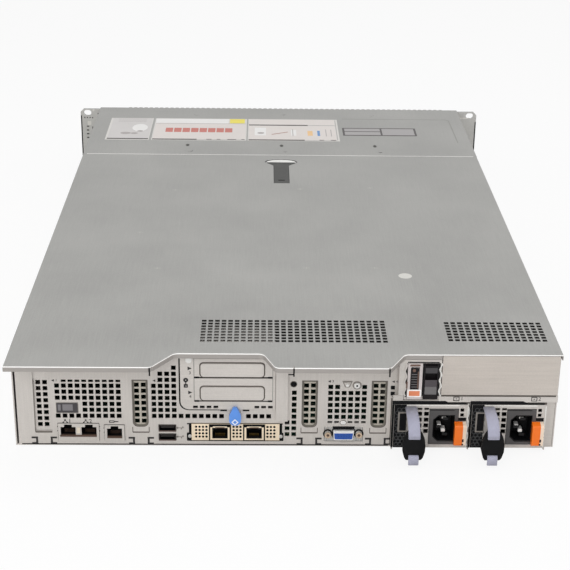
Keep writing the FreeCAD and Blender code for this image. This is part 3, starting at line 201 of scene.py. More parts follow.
def inset(outline: np.ndarray, distance: float) -> np.ndarray:
    """Outline moved inwards: each corner goes along the mean of its two sides' normals.

    Args:
        outline: corners, turning left.
        distance: how far the sides move.

    Returns:
        The moved corners.
    """
    ahead = np.roll(outline, -1, axis=0) - outline
    ahead = ahead / np.linalg.norm(ahead, axis=1, keepdims=True)
    normal = np.stack([-ahead[:, 1], ahead[:, 0]], axis=-1)
    mean = (normal + np.roll(normal, 1, axis=0)) / 2
    return outline + distance * mean / np.sum(mean * mean, axis=1, keepdims=True)


def lift(outline: np.ndarray, out: float) -> np.ndarray:
    """A flat outline given its distance out of its plane."""
    return np.concatenate([outline, np.full((len(outline), 1), out)], axis=1)


def stamp(outline: np.ndarray, centres: Spots, height: float, bevel: float = 0.0,
          base: float = 0.0) -> Surface:
    """The same bevelled plate at many centres: outline, outline again higher, then its inset.

    Args:
        outline: corners about the origin, turning left.
        centres: places across and up.
        height: how far the plates stand out.
        bevel: size of the slanted edge.
        base: distance out of their feet.

    Returns:
        One surface with every plate.
    """
    rings = [lift(outline, base), lift(outline, base + height - bevel)]
    if bevel > 0:
        rings.append(lift(inset(outline, bevel), base + height))
    one = loft(np.stack(rings))
    places = np.array([(a, b, 0.0) for a, b in centres])
    corners = (one.corners[None] + places[:, None, :]).reshape(-1, 3)
    size = len(one.corners)
    faces = [[i + size * n for i in face] for n in range(len(places)) for face in one.faces]
    return Surface(corners, faces)


def band(outer: np.ndarray, inner: np.ndarray, centres: Spots, height: float) -> Surface:
    """A flat ring at many centres: outer low, outer high, inner high, inner low, and round.

    Args:
        outer: outer corners.
        inner: as many inner corners.
        centres: places across and up.
        height: how far the rings stand out.

    Returns:
        One surface with every ring.
    """
    rings = np.stack([lift(outer, 0.0), lift(outer, height), lift(inner, height), lift(inner, 0.0)])
    return merge([loft(rings + np.array([a, b, 0.0]), wrap=True) for a, b in centres])


def plate(x: Span, y: Span, height: float, base: float = 0.0) -> Surface:
    """A thin plate over a span across and a span up: its four corners, and the same higher.

    Args:
        x: where it starts and ends across.
        y: where it starts and ends up.
        height: how far it stands out.
        base: distance out of its foot.

    Returns:
        The plate.
    """
    centre = [((x[0] + x[1]) / 2, (y[0] + y[1]) / 2)]
    return stamp(rounded(x[1] - x[0], y[1] - y[0]), centre, height, 0.0, base)


def ribbon(path: np.ndarray, width: float) -> np.ndarray:
    """Outline of a line of even width: the path moved half a width along its normals, both ways.

    Args:
        path: points across and up.
        width: full width.

    Returns:
        Corners of the outline.
    """
    ahead = np.gradient(path, axis=0)
    ahead = ahead / np.linalg.norm(ahead, axis=1, keepdims=True)
    normal = np.stack([-ahead[:, 1], ahead[:, 0]], axis=-1) * width / 2
    return np.concatenate([path - normal, (path + normal)[::-1]])


def oval(across: float, up: float) -> np.ndarray:
    """Outline of an ellipse with 20 sides, given by its two radii."""
    return disc(1.0, 20) * np.array([across, up])


def half_arc(across: float, up: float, start: float, count: int) -> np.ndarray:
    """Half an ellipse: cosine and sine of even turns over half a circle.

    Args:
        across: radius across.
        up: radius up.
        start: the first turn, in radians.
        count: number of points.

    Returns:
        Points, turning left.
    """
    turn = np.linspace(start, start + np.pi, count)
    return np.stack([np.cos(turn), np.sin(turn)], axis=-1) * np.array([across, up])


def half_ring(outer: Span, inner: Span, start: float, count: int) -> np.ndarray:
    """Outline of half a ring: its outer half ellipse and its inner one back.

    Args:
        outer: radii across and up of the outer side.
        inner: radii of the inner side.
        start: the first turn, in radians.
        count: points along each side.

    Returns:
        Corners, turning left.
    """
    return np.concatenate([half_arc(*outer, start, count), half_arc(*inner, start, count)[::-1]])


def trapezium(*right: tuple[float, float]) -> np.ndarray:
    """Outline that is the same left and right, from its right corners listed downwards."""
    return np.array([(-x, z) for x, z in right] + list(right[::-1]))


def wavy(across: float, reach: float, height: np.ndarray, length: float, start: float,
         width: float) -> np.ndarray:
    """Outline of a wavy upright line: its middle swings as the sine of the height.

    Args:
        across: place of its middle.
        reach: how far it swings to each side.
        height: heights of its points.
        length: height of one wave.
        start: turn at height nought, in radians.
        width: width of the line.

    Returns:
        Corners of the outline.
    """
    turn = height * 2 * np.pi / length + start
    return ribbon(np.stack([across + reach * np.sin(turn), height], axis=-1), width)


def comb(x: float, z: float) -> Spots:
    """Centres of a jack's eight contacts about x."""
    return [(x + CONTACT_PITCH * (i - 3.5), z) for i in range(8)]


def scoop(width: float, low: float, high: float, radius: float, steps: int = 6) -> np.ndarray:
    """Outline of a window about x = 0 with square upper and round lower corners.

    Args:
        width: full width.
        low: height of its lower side.
        high: height of its upper side.
        radius: radius of the lower corners, drawn as quarter turns.
        steps: steps round each lower corner.

    Returns:
        Corners, turning left.
    """
    turn = np.linspace(0, np.pi / 2, steps + 1)
    across = width / 2 - radius + radius * np.sin(turn)
    arc = np.stack([across, low + radius - radius * np.cos(turn)], axis=-1)
    left = arc[::-1] * np.array([-1.0, 1.0])
    return np.concatenate([left, arc, np.array([(width / 2, high), (-width / 2, high)])])


def rounded_path(points: Spots, radii: list[float], steps: int = 6) -> np.ndarray:
    """A path whose corners are rounded: (1 - t)^2 start + 2 t (1 - t) corner + t^2 stop.

    Args:
        points: corners of the path.
        radii: distance from each corner at which its curve starts.
        steps: steps round a corner.

    Returns:
        Points of the path.
    """
    line = np.array(points, dtype=float)
    parts = [line[:1]]
    t = np.linspace(0, 1, steps + 1)[:, None]
    for i in range(1, len(line) - 1):
        back, ahead = line[i - 1] - line[i], line[i + 1] - line[i]
        start = line[i] + back / np.linalg.norm(back) * radii[i]
        stop = line[i] + ahead / np.linalg.norm(ahead) * radii[i]
        parts.append((1 - t) ** 2 * start + 2 * t * (1 - t) * line[i] + t ** 2 * stop)
    parts.append(line[-1:])
    return np.concatenate(parts)


def strip(path: np.ndarray, widths: np.ndarray, thickness: float, across: float) -> Surface:
    """A flat strap along a side profile: eight corners round each point of its path.

    The corners lie at the point plus a share of the width across and of the thickness along
    the path's normal, with the edges thinner than the middle.

    Args:
        path: points in depth and height.
        widths: full width at each point.
        thickness: full thickness.
        across: place of its middle line.

    Returns:
        The closed strap, with the length along it kept for its weave.
    """
    ahead = np.gradient(path, axis=0)
    ahead = ahead / np.linalg.norm(ahead, axis=1, keepdims=True)
    normal = np.stack([-ahead[:, 1], ahead[:, 0]], axis=-1)
    u = np.array([-1.0, -0.9, 0.0, 0.9, 1.0, 0.9, 0.0, -0.9])
    v = np.array([0.0, 0.5, 0.5, 0.5, 0.0, -0.5, -0.5, -0.5])
    x = across + widths[:, None] / 2 * u[None, :]
    side = path[:, None, :] + normal[:, None, :] * (v * thickness)[None, :, None]
    rings = np.concatenate([x[..., None], side], axis=-1)
    surface = loft(rings)
    run = np.concatenate([[0.0], np.cumsum(np.linalg.norm(np.diff(path, axis=0), axis=1))])
    surface.along = np.stack([np.repeat(run, 8), (widths[:, None] / 2 * u[None, :]).ravel()], axis=-1)
    return surface


def face_to(corners: np.ndarray, facing: Facing, level: float) -> np.ndarray:
    """Corners in (across, up, out) turned to the way that they look, in metres.

    Args:
        corners: the corners.
        facing: the way that the piece looks.
        level: where out is nought: a depth or a height.

    Returns:
        The corners in the object's own frame.
    """
    a, b, out = corners[:, 0], corners[:, 1], corners[:, 2]
    placed = {
        Facing.REAR: (a, level - out, b),
        Facing.FRONT: (a, level + out, b),
        Facing.ROOF: (a, b, level + out),
    }[facing]
    return in_metres(np.stack(placed, axis=-1))


def in_metres(corners: np.ndarray) -> np.ndarray:
    """Corners in millimetres from the rear wall, as metres in the object's own frame."""
    return corners * MM + np.array([0.0, WALL_Y, 0.0])


def put(name: str, corners: np.ndarray, faces: list[list[int]], material: bpy.types.Material,
        body: str, smooth: bool = False) -> bpy.types.Object:
    """A new piece that rides on a body, with its faces turned outwards.

    Args:
        name: name of the piece.
        corners: corners in metres.
        faces: corner numbers of each face.
        material: its finish.
        body: the body that it rides on.
        smooth: shades its faces smooth.

    Returns:
        The piece.
    """
    mesh = bpy.data.meshes.new(name)
    mesh.from_pydata(corners.tolist(), [], faces)
    shell = bmesh.new()
    shell.from_mesh(mesh)
    bmesh.ops.recalc_face_normals(shell, faces=shell.faces)
    shell.to_mesh(mesh)
    shell.free()
    mesh.polygons.foreach_set("use_smooth", [smooth] * len(mesh.polygons))
    mesh.materials.append(material)
    piece = bpy.data.objects.new(name, mesh)
    bpy.context.collection.objects.link(piece)
    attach(piece, body)
    log.info("%s: %d faces", name, len(mesh.polygons))
    return piece


def rear_face(box: tuple[Vector, Vector]) -> float:
    """Place of a solid's rear side, in millimetres from the rear wall."""
    return (box[0].y - WALL_Y) / MM


def figures(text: str, size: float, centre: tuple[float, float], height: float) -> Surface:
    """Plain figures as raised flat shapes about a centre.

    Args:
        text: the figures.
        size: their height.
        centre: place across and up.
        height: how far they stand out.

    Returns:
        Their surface in (across, up, out).
    """
    curve = bpy.data.curves.new("figures", "FONT")
    curve.body = text
    curve.size = size
    curve.extrude = height / 2
    curve.resolution_u = 2
    curve.align_x, curve.align_y = "CENTER", "CENTER"
    holder = bpy.data.objects.new("figures", curve)
    bpy.context.collection.objects.link(holder)
    mesh = bpy.data.meshes.new_from_object(holder.evaluated_get(bpy.context.evaluated_depsgraph_get()))
    flat = np.empty(len(mesh.vertices) * 3)
    mesh.vertices.foreach_get("co", flat)
    corners = flat.reshape(-1, 3) + np.array([centre[0], centre[1], height / 2])
    faces = [list(face.vertices) for face in mesh.polygons]
    bpy.data.objects.remove(holder)
    bpy.data.curves.remove(curve)
    bpy.data.meshes.remove(mesh)
    return Surface(corners, faces)


class Value:
    """One number of a shader, with arithmetic that adds Math nodes."""

    def __init__(self, graph: "Nodes", socket: bpy.types.NodeSocket) -> None:
        """Keeps the graph and the socket."""
        self.graph = graph
        self.socket = socket

    def _math(self, operation: str, *values: "Value | float", clamp: bool = False) -> "Value":
        """Adds one Math node and gives its result.

        Args:
            operation: the node's operation.
            values: its inputs in order.
            clamp: keeps the result between nought and one.

        Returns:
            The result.
        """
        inputs = dict(enumerate(values))
        node = self.graph.node("ShaderNodeMath", {"operation": operation, "use_clamp": clamp}, inputs)
        return Value(self.graph, node.outputs[0])

    def __add__(self, other: "Value | float") -> "Value":
        """Sum."""
        return self._math("ADD", self, other)

    def __sub__(self, other: "Value | float") -> "Value":
        """Difference."""
        return self._math("SUBTRACT", self, other)

    def __rsub__(self, other: float) -> "Value":
        """Difference from a number."""
        return self._math("SUBTRACT", other, self)

    def __mul__(self, other: "Value | float") -> "Value":
        """Product."""
        return self._math("MULTIPLY", self, other)

    def __mod__(self, other: float) -> "Value":
        """What is left after whole steps, also below nought."""
        return self._math("FLOORED_MODULO", self, other)

    __radd__ = __add__
    __rmul__ = __mul__

    def size(self) -> "Value":
        """The value without its sign."""
        return self._math("ABSOLUTE", self)

    def most(self, other: "Value") -> "Value":
        """The larger of two values."""
        return self._math("MAXIMUM", self, other)

    def above(self, level: float, soft: float) -> "Value":
        """One above a level and nought below it, with an even change across a soft edge.

        Args:
            level: the middle of the change.
            soft: its width.

        Returns:
            The mask.
        """
        return self._math("MULTIPLY_ADD", self, 1 / soft, 0.5 - level / soft, clamp=True)

    def within(self, low: float, high: float, soft: float) -> "Value":
        """One between two levels.

        Args:
            low: the lower level.
            high: the upper level.
            soft: width of the change at each.

        Returns:
            The mask.
        """
        return self.above(low, soft) * (1 - self.above(high, soft))


class Nodes:
    """A node tree whose nodes are all made in one way."""

    def __init__(self, tree: bpy.types.NodeTree) -> None:
        """Empties the tree."""
        self.tree = tree
        self.tree.nodes.clear()

    def node(self, kind: str, settings: dict, inputs: dict) -> bpy.types.Node:
        """Adds a node, sets its options and then its inputs.

        Args:
            kind: type of the node.
            settings: its options.
            inputs: values or sockets by socket name or number.

        Returns:
            The node.
        """
        node = self.tree.nodes.new(kind)
        for key, value in settings.items():
            setattr(node, key, value)
        for key, value in inputs.items():
            socket = node.inputs[key]
            if isinstance(value, Value):
                self.tree.links.new(value.socket, socket)
            elif isinstance(value, bpy.types.NodeSocket):
                self.tree.links.new(value, socket)
            elif isinstance(value, tuple) and len(socket.default_value) == 4:
                socket.default_value = (*value, 1.0)
            else:
                socket.default_value = value
        return node

    def rays(self, *kinds: str) -> list[Value]:
        """One for a ray of each kind and nought for other rays."""
        path = self.node("ShaderNodeLightPath", {}, {}).outputs
        return [Value(self, path[f"Is {kind} Ray"]) for kind in kinds]


class Graph(Nodes):
    """The nodes of one material, with places in millimetres from the rear wall."""

    def __init__(self, name: str) -> None:
        """Starts a material and reads the place on the object.

        Args:
            name: name of the material.
        """
        self.material = bpy.data.materials.new(name)
        self.material.use_nodes = True
        super().__init__(self.material.node_tree)
        source = self.node("ShaderNodeTexCoord", {}, {}).outputs["Object"]
        moved = self.vector("SUBTRACT", source, (0.0, WALL_Y, 0.0))
        self.place = self.vector("MULTIPLY", moved, (1 / MM, 1 / MM, 1 / MM))
        self.x, self.y, self.z = self.split(self.place)

    def vector(self, operation: str, first: object, second: object) -> bpy.types.NodeSocket:
        """Adds one Vector Math node.

        Args:
            operation: the node's operation.
            first: first vector or socket.
            second: second vector or socket.

        Returns:
            Its vector.
        """
        node = self.node("ShaderNodeVectorMath", {"operation": operation}, {0: first, 1: second})
        return node.outputs[0]

    def split(self, vector: bpy.types.NodeSocket) -> tuple[Value, Value, Value]:
        """The three parts of a vector."""
        parts = self.node("ShaderNodeSeparateXYZ", {}, {0: vector}).outputs
        return Value(self, parts[0]), Value(self, parts[1]), Value(self, parts[2])

    def noise(self, per_mm: float, stretch: Colour = (1.0, 1.0, 1.0), detail: float = 2.0) -> Value:
        """Cloud noise, about one half.

        Args:
            per_mm: how many clouds fit in a millimetre.
            stretch: scale along each axis.
            detail: finer layers.

        Returns:
            The noise.
        """
        where = self.vector("MULTIPLY", self.place, stretch)
        node = self.node("ShaderNodeTexNoise", {}, {"Vector": where, "Scale": per_mm, "Detail": detail})
        return Value(self, node.outputs[0])

    def mix(self, share: Value | float, first: object, second: object) -> bpy.types.NodeSocket:
        """Colour between two colours.

        Args:
            share: share of the second.
            first: first colour or socket.
            second: second colour or socket.

        Returns:
            The mixed colour.
        """
        node = self.node("ShaderNodeMix", {"data_type": "RGBA"}, {0: share, 6: first, 7: second})
        return node.outputs[2]

    def bump(self, height: Value, strength: float, distance: float) -> bpy.types.NodeSocket:
        """Normal that a height gives.

        Args:
            height: the height from nought to one.
            strength: strength of the effect.
            distance: full height in millimetres.

        Returns:
            The normal.
        """
        inputs = {"Height": height, "Strength": strength, "Distance": distance * MM}
        return self.node("ShaderNodeBump", {}, inputs).outputs[0]

    def zoned(self, colour: bpy.types.NodeSocket, zones: tuple["Zone", ...]) -> bpy.types.NodeSocket:
        """A colour with the colour of each zone laid over it in turn.

        Args:
            colour: the colour outside the zones.
            zones: the zones.

        Returns:
            The colour.
        """
        for zone in zones:
            colour = self.mix(zone.mask(self), colour, zone.colour)
        return colour

    def close(self, shader: bpy.types.Node) -> bpy.types.Material:
        """Puts a shader on the material's output."""
        self.node("ShaderNodeOutputMaterial", {}, {0: shader.outputs[0]})
        return self.material

    def finish(self, inputs: dict) -> bpy.types.Material:
        """Closes the material with a surface shader, whose inputs are given by name."""
        return self.close(self.node("ShaderNodeBsdfPrincipled", {}, inputs))


@dataclass(frozen=True)
class Zone:
    """A block of space in which a finish has another colour."""

    low: Place
    high: Place
    colour: Colour
    soft: float = 0.15

    def mask(self, graph: Graph) -> Value:
        """One inside the block: the product of three spans.

        Args:
            graph: the nodes of the finish.

        Returns:
            The mask.
        """
        spans = zip((graph.x, graph.y, graph.z), self.low, self.high)
        masks = [axis.within(low, high, self.soft) for axis, low, high in spans]
        return masks[0] * masks[1] * masks[2]


@dataclass(frozen=True)
class PlatedSheet:
    """Satin plated steel: rolled streaks, broad clouds and fine specks."""

    colour: Colour
    grain: Grain = Grain.ALONG_X
    roughness: float = 0.42
    metallic: float = 0.3
    variation: float = 0.16
    zones: tuple[Zone, ...] = ()

    def material(self, name: str) -> bpy.types.Material:
        """Colour follows clouds, streaks and specks; roughness follows the streaks.

        Args:
            name: name of the material.

        Returns:
            The material.
        """
        g = Graph(name)
        clouds = g.noise(0.011, detail=3.0)
        streaks = g.noise(0.9, self.grain.value, 2.0)
        specks = g.noise(1.1, detail=1.0)
        tone = clouds * 0.9 + streaks * 0.55 + specks * 0.45 - 0.95
        dark, light = (shade(self.colour, 1 + side * self.variation) for side in SIDES)
        colour = g.zoned(g.mix(tone.above(0.0, 0.9), dark, light), self.zones)
        rough = streaks * 0.16 + clouds * 0.14 + (self.roughness - 0.15)
        return g.finish({"Base Color": colour, "Roughness": rough, "Metallic": self.metallic,
                         "Normal": g.bump(specks * 0.6 + streaks * 0.4, 0.25, 0.08)})


@dataclass(frozen=True)
class Moulded:
    """Moulded plastic: fine grain, a little uneven gloss and slight shade changes."""

    colour: Colour
    roughness: float = 0.45
    grain: float = 0.3
    metallic: float = 0.0
    specular: float = 0.5
    zones: tuple[Zone, ...] = ()

    def material(self, name: str) -> bpy.types.Material:
        """Colour follows slow clouds; roughness and normal follow the grain.

        Args:
            name: name of the material.

        Returns:
            The material.
        """
        g = Graph(name)
        clouds = g.noise(0.08, detail=2.0)
        grain = g.noise(2.6, detail=1.0)
        dark, light = shade(self.colour, 0.86), shade(self.colour, 1.12, 0.004)
        colour = g.zoned(g.mix((clouds * 0.7 + grain * 0.3).above(0.5, 0.5), dark, light), self.zones)
        rough = grain * 0.2 + (self.roughness - 0.1)
        return g.finish({"Base Color": colour, "Roughness": rough, "Metallic": self.metallic,
                         "Specular IOR Level": self.specular, "Normal": g.bump(grain, self.grain, 0.06)})


@dataclass(frozen=True)
class Webbing:
    """Woven strap: ribs across it, threads along it, read from the strap's own map."""

    colour: Colour
    pitch: float = 0.9

    def material(self, name: str) -> bpy.types.Material:
        """Height is the product of a rib wave along the strap and a thread wave across it.

        Args:
            name: name of the material.

        Returns:
            The material.
        """
        g = Graph(name)
        weave = g.node("ShaderNodeAttribute", {"attribute_name": "weave"}, {})
        run, wide, _ = g.split(weave.outputs["Vector"])
        rib = ((run + wide.size() * 0.35) % self.pitch).within(0.16, self.pitch * 0.74, 0.3)
        thread = (wide % (self.pitch * 0.55)).within(0.08, self.pitch * 0.42, 0.16)
        cloud = g.noise(0.25, detail=2.0)
        height = rib * 0.7 + thread * 0.3
        # The colour darkens where the weave lies low: painted shade in its grooves, with slow clouds of tone.
        colour = g.mix(height * 0.75 + cloud * 0.3, shade(self.colour, 0.52), self.colour)
        return g.finish({"Base Color": colour, "Roughness": 0.8, "Sheen Weight": 0.15,
                         "Normal": g.bump(height, 0.7, 0.12)})


@dataclass(frozen=True)
class CircuitBoard:
    """Solder mask with traces: a fine grid broken up by noise, with pale pads."""

    colour: Colour

    def material(self, name: str) -> bpy.types.Material:
        """Traces lie where a 2.4 mm step and slow noise agree; pads are small squares.

        Args:
            name: name of the material.

        Returns:
            The material.
        """
        g = Graph(name)
        cloud = g.noise(0.05, detail=3.0)
        lines = (g.x % 2.4).within(0.4, 1.1, 0.2) * cloud.above(0.52, 0.04)
        cross = (g.y % 3.1).within(0.5, 1.2, 0.2) * (1 - cloud.above(0.47, 0.04))
        pads = (g.x % 7.3).within(1.0, 2.6, 0.2) * (g.y % 5.7).within(1.0, 2.2, 0.2)
        traced = g.mix((lines + cross) * 0.5, self.colour, shade(self.colour, 2.2, 0.01))
        colour = g.mix(pads * cloud.above(0.5, 0.05) * 0.8, traced, screen(200, 190, 150))
        return g.finish({"Base Color": colour, "Roughness": 0.38,
                         "Normal": g.bump(lines + cross + pads, 0.4, 0.05)})


@dataclass(frozen=True)
class Fins:
    """Extruded metal: lines drawn along the fins and a light haze."""

    colour: Colour

    def material(self, name: str) -> bpy.types.Material:
        """Colour and roughness follow long drawn lines.

        Args:
            name: name of the material.

        Returns:
            The material.
        """
        g = Graph(name)
        drawn = g.noise(2.2, Grain.ALONG_Y.value, 2.0)
        haze = g.noise(0.04, detail=2.0)
        colour = g.mix(drawn * 0.6 + haze * 0.4, shade(self.colour, 0.7), self.colour)
        return g.finish({"Base Color": colour, "Roughness": drawn * 0.2 + 0.25, "Metallic": 0.75,
                         "Normal": g.bump(drawn, 0.3, 0.05)})


@dataclass(frozen=True)
class Paper:
    """Printed label: smooth film with faint fibre and a thin sheen."""

    colour: Colour
    roughness: float = 0.35

    def material(self, name: str) -> bpy.types.Material:
        """Colour follows fibre and slow clouds.

        Args:
            name: name of the material.

        Returns:
            The material.
        """
        g = Graph(name)
        fibre = g.noise(1.6, (1.0, 0.4, 1.0), 3.0)
        cloud = g.noise(0.03, detail=2.0)
        colour = g.mix(fibre * 0.5 + cloud * 0.5, shade(self.colour, 0.88), shade(self.colour, 1.08))
        return g.finish({"Base Color": colour, "Roughness": fibre * 0.16 + (self.roughness - 0.08),
                         "Coat Weight": 0.15, "Normal": g.bump(fibre, 0.12, 0.03)})


class Palette:
    """Every finish of the recorder, made once and kept by name.

    Papers and most plastics are given by their colours on a screen. The key of a group of
    plastics is its roughness, grain, metallic share and specular level.
    """

    WALL = (0.60, 0.565, 0.53)
    ROOF = (0.335, 0.332, 0.318)
    # Painted highlight along the roof's bent rear rim.
    RIM_HIGHLIGHT = (0.93, 0.92, 0.90)
    FLANGE = (0.36, 0.335, 0.315)
    # Near black for painted shade in gaps, hollows and shadows.
    PAINTED_SHADE = (0.006, 0.006, 0.007)
    BLACK = (0.010, 0.010, 0.011)
    FAR = 300.0
    PAPERS = {
        "badge_pale": (122, 119, 122), "mark_pale": (212, 210, 204), "diamond": (236, 240, 250),
        "label_film": (214, 211, 206), "label_grey": (204, 200, 198), "label_pink": (222, 214, 209),
        "label_white": (236, 234, 232), "label_shade": (160, 152, 150), "label_red": (190, 78, 56),
        "label_yellow": (240, 222, 0), "label_orange": (236, 190, 124), "label_blue": (56, 126, 190),
        "strip_grey": (152, 148, 148)}
    PLASTICS = {
        (0.25, 0.05): {"led_teal": (110, 168, 166), "lens_clear": (176, 180, 170)},
        (0.36, 0.12): {"tab_blue": (90, 145, 226)},
        (0.4, 0.15): {"badge": (60, 57, 60), "video_blue": (25, 78, 165)},
        (0.42, 0.1): {"patch_white": (250, 244, 240)},
        (0.42, 0.15): {"module_orange": (222, 132, 92)},
        (0.45, 0.2): {"cream_block": (226, 214, 196), "module_white": (200, 192, 190),
                      "module_dark": (58, 56, 58), "module_plum": (68, 62, 66),
                      "module_grey": (104, 102, 102)},
        (0.5, 0.1): {"video_dark": (16, 50, 118)},
        (0.5, 0.2): {"module_brown": (104, 78, 66)},
        (0.5, 0.3): {"grey": (86, 86, 90)},
        (0.55, 0.05): {"label_ink": (50, 45, 42), "label_brown": (160, 112, 100), "strip_ink": (74, 70, 70)},
        (0.55, 0.1): {"mark_grey": (138, 132, 126)},
        # Painted shade along edges, creases and outlines, in the window recesses, and in dots, bores and half
        # rings.
        (0.6, 0.1, 0.0, 0.3): {"edge_shade": (104, 98, 92), "outline_shade": (88, 82, 76),
                               "window_shade": (128, 124, 114), "hollow_shade": (66, 65, 62)},
        (0.5, 0.2, 0.0, 0.3): {"mesh_grey": (66, 67, 68)},
        # Dark print, and painted shade in the foot slots.
        (0.6, 0.1, 0.0, 0.2): {"dark_print_and_shade": (52, 50, 50)},
        (0.5, 0.2, 0.0, 0.2): {"module_black": (20, 16, 18)},
        (0.5, 0.2, 0.0, 0.25): {"latch_grip": (62, 62, 60)},
        (0.5, 0.1, 0.0, 0.25): {"jack_brown": (88, 70, 60)},
        # Painted shade along folds, dot rims and the fillers' sides; then pale handling marks.
        (0.55, 0.1, 0.2): {"fold_shade": (143, 143, 138), "scratch_pale": (178, 178, 172)},
        (0.4, 0.15, 0.2): {"cream": (240, 222, 195)}}

    def __init__(self) -> None:
        """Makes the materials."""
        recipes = self._sheets() | self._coloured()
        recipes |= {name: Paper(screen(*tint)) for name, tint in self.PAPERS.items()}
        for values, names in self.PLASTICS.items():
            recipes |= {name: Moulded(screen(*tint), *values) for name, tint in names.items()}
        self._made = {name: finish.material(name) for name, finish in recipes.items()}

    def __getitem__(self, name: str) -> bpy.types.Material:
        """The material of one name."""
        return self._made[name]

    def _slab(self, y: Span, z: Span, colour: Colour, soft: float = 0.15) -> Zone:
        """A zone over the whole width.

        Args:
            y: its depths.
            z: its heights.
            colour: its colour.
            soft: width of its edges.

        Returns:
            The zone.
        """
        return Zone((-self.FAR, y[0], z[0]), (self.FAR, y[1], z[1]), colour, soft)

    def _sheets(self) -> dict[str, PlatedSheet]:
        """Plated steel, with painted shade on its insides and a painted highlight along the roof's rim."""
        zinc, whole = self.WALL, (0.0, 90.0)
        skirts = (self._slab((-60.0, 700.0), (0.0, 85.65), self.FLANGE),
                  # Painted highlight: a pale line along the roof's bent rear rim.
                  self._slab((-60.0, 3.0), (85.65, 86.3), self.RIM_HIGHLIGHT, 0.2),
                  # Painted shade on the roof's underside and hole walls just inside the rear wall.
                  self._slab((3.0, 90.0), (85.0, 86.45), screen(44, 44, 42), 0.1))
        # Painted shade on the bracket plates, recessed within the wall's windows.
        behind = (Zone((-130.0, 0.6, 12.0), (100.0, 3.0, 60.0), screen(186, 180, 168)),)
        # Painted shade on the walls of the rear wall's holes, within its thickness.
        hole_wall_shade = (self._slab((0.1, 0.92), whole, screen(58, 56, 54)),)
        # Black deeper than the jacks' front face: their dark plastic, with painted shade far inside the
        # openings.
        socket = (self._slab((-0.5, 60.0), whole, (0.01, 0.01, 0.011)),)
        # Painted shade inside the flat sockets, deeper than their front rims.
        shell = (self._slab((0.6, 60.0), whole, self.PAINTED_SHADE),)
        ear = (self._slab((666.5, 700.0), whole, (0.03, 0.03, 0.033)),)
        return {
            "roof_zinc": PlatedSheet(self.ROOF, Grain.ALONG_Y, 0.46, 0.3, 0.2, skirts),
            "wall_zinc": PlatedSheet(zinc, Grain.ALONG_Z, zones=hole_wall_shade),
            "panel_zinc": PlatedSheet(zinc, Grain.ALONG_Z),
            "jack_zinc": PlatedSheet(zinc, Grain.ALONG_Z, zones=socket),
            "tray_zinc": PlatedSheet(shade(zinc, 0.97), Grain.ALONG_Y),
            "bracket_zinc": PlatedSheet(shade(zinc, 1.02), Grain.ALONG_Z, zones=behind),
            "riser_zinc": PlatedSheet(shade(zinc, 1.03)),
            "cage_zinc": PlatedSheet(shade(zinc, 0.98)),
            "supply_zinc": PlatedSheet(shade(zinc, 0.94), Grain.ALONG_Z, 0.36, 0.35),
            "blank_zinc": PlatedSheet(screen(196, 188, 180)),
            # The ears' finish is the roof's finish made half again lighter: painted light that makes up for
            # the shade on the ears.
            "ear_zinc": PlatedSheet(shade(self.ROOF, 1.5), Grain.ALONG_Z, 0.46, 0.3, 0.08, ear),
            # Bright steel for the real springs, and painted highlights along the roof seam, the latch
            # crescent and the supplies' edges.
            "highlight_and_spring": PlatedSheet((0.80, 0.79, 0.76), Grain.ALONG_X, 0.3, 0.5),
            "steel": PlatedSheet((0.55, 0.54, 0.52), Grain.ALONG_Z, 0.3, 0.7),
            "brass": PlatedSheet(screen(206, 184, 160), Grain.ALONG_Z, 0.34, 0.5),
            "screw_white": PlatedSheet((0.80, 0.79, 0.77), Grain.ALONG_X, 0.32, 0.3),
            "disk_case": PlatedSheet((0.42, 0.43, 0.45), Grain.ALONG_Y, 0.4, 0.6),
            "usb_bronze": PlatedSheet(screen(112, 92, 86), Grain.ALONG_X, 0.4, 0.4),
            "usb_shell": PlatedSheet(screen(52, 46, 44), Grain.ALONG_X, 0.4, 0.4, zones=shell),
            "rim_white": PlatedSheet((0.92, 0.91, 0.89), Grain.ALONG_X, 0.32, 0.2),
            "gold_dark": PlatedSheet(screen(116, 92, 44), Grain.ALONG_Y, 0.4, 0.6)}

    def _coloured(self) -> dict[str, Moulded | CircuitBoard | Fins | Webbing]:
        """Blacks, plastics with zones, paints, boards, fins and the straps."""
        # Painted shade inside the inlet's well, deeper than its front face.
        inner = (Zone((0.0, -7.6, 0.0), (self.FAR, 60.0, 90.0), (0.004, 0.004, 0.005)),)
        cream = tuple(Zone((x, -60.0, 0.0), (x + 8.0, 10.0, 90.0), screen(240, 218, 196))
                      for x in (140.9, 203.0))
        return {
            "black": Moulded(self.BLACK, 0.5, specular=0.2),
            "handle_black": Moulded((0.004, 0.004, 0.0045), 0.55, 0.4, specular=0.1),
            "latch_black": Moulded(self.BLACK, 0.5, 0.2, specular=0.2),
            "print_black": Moulded((0.012, 0.012, 0.014), 0.6, 0.1, specular=0.2),
            "shadow": Moulded(self.PAINTED_SHADE, 0.8, 0.1, specular=0.1),
            "inlet_grey": Moulded(screen(80, 78, 78), 0.5, 0.25, specular=0.3, zones=inner),
            "release_orange": Moulded(screen(255, 116, 0), 0.34, 0.15, zones=cream),
            "front_paint": Moulded((0.022, 0.022, 0.025), 0.5, 0.5),
            "front_grille": Moulded((0.03, 0.03, 0.033), 0.55, 0.5),
            "lever_paint": Moulded((0.05, 0.05, 0.056), 0.4, 0.3),
            "board": CircuitBoard((0.004, 0.03, 0.018)),
            "fins": Fins((0.5, 0.51, 0.52)),
            "webbing": Webbing(screen(188, 188, 208))}


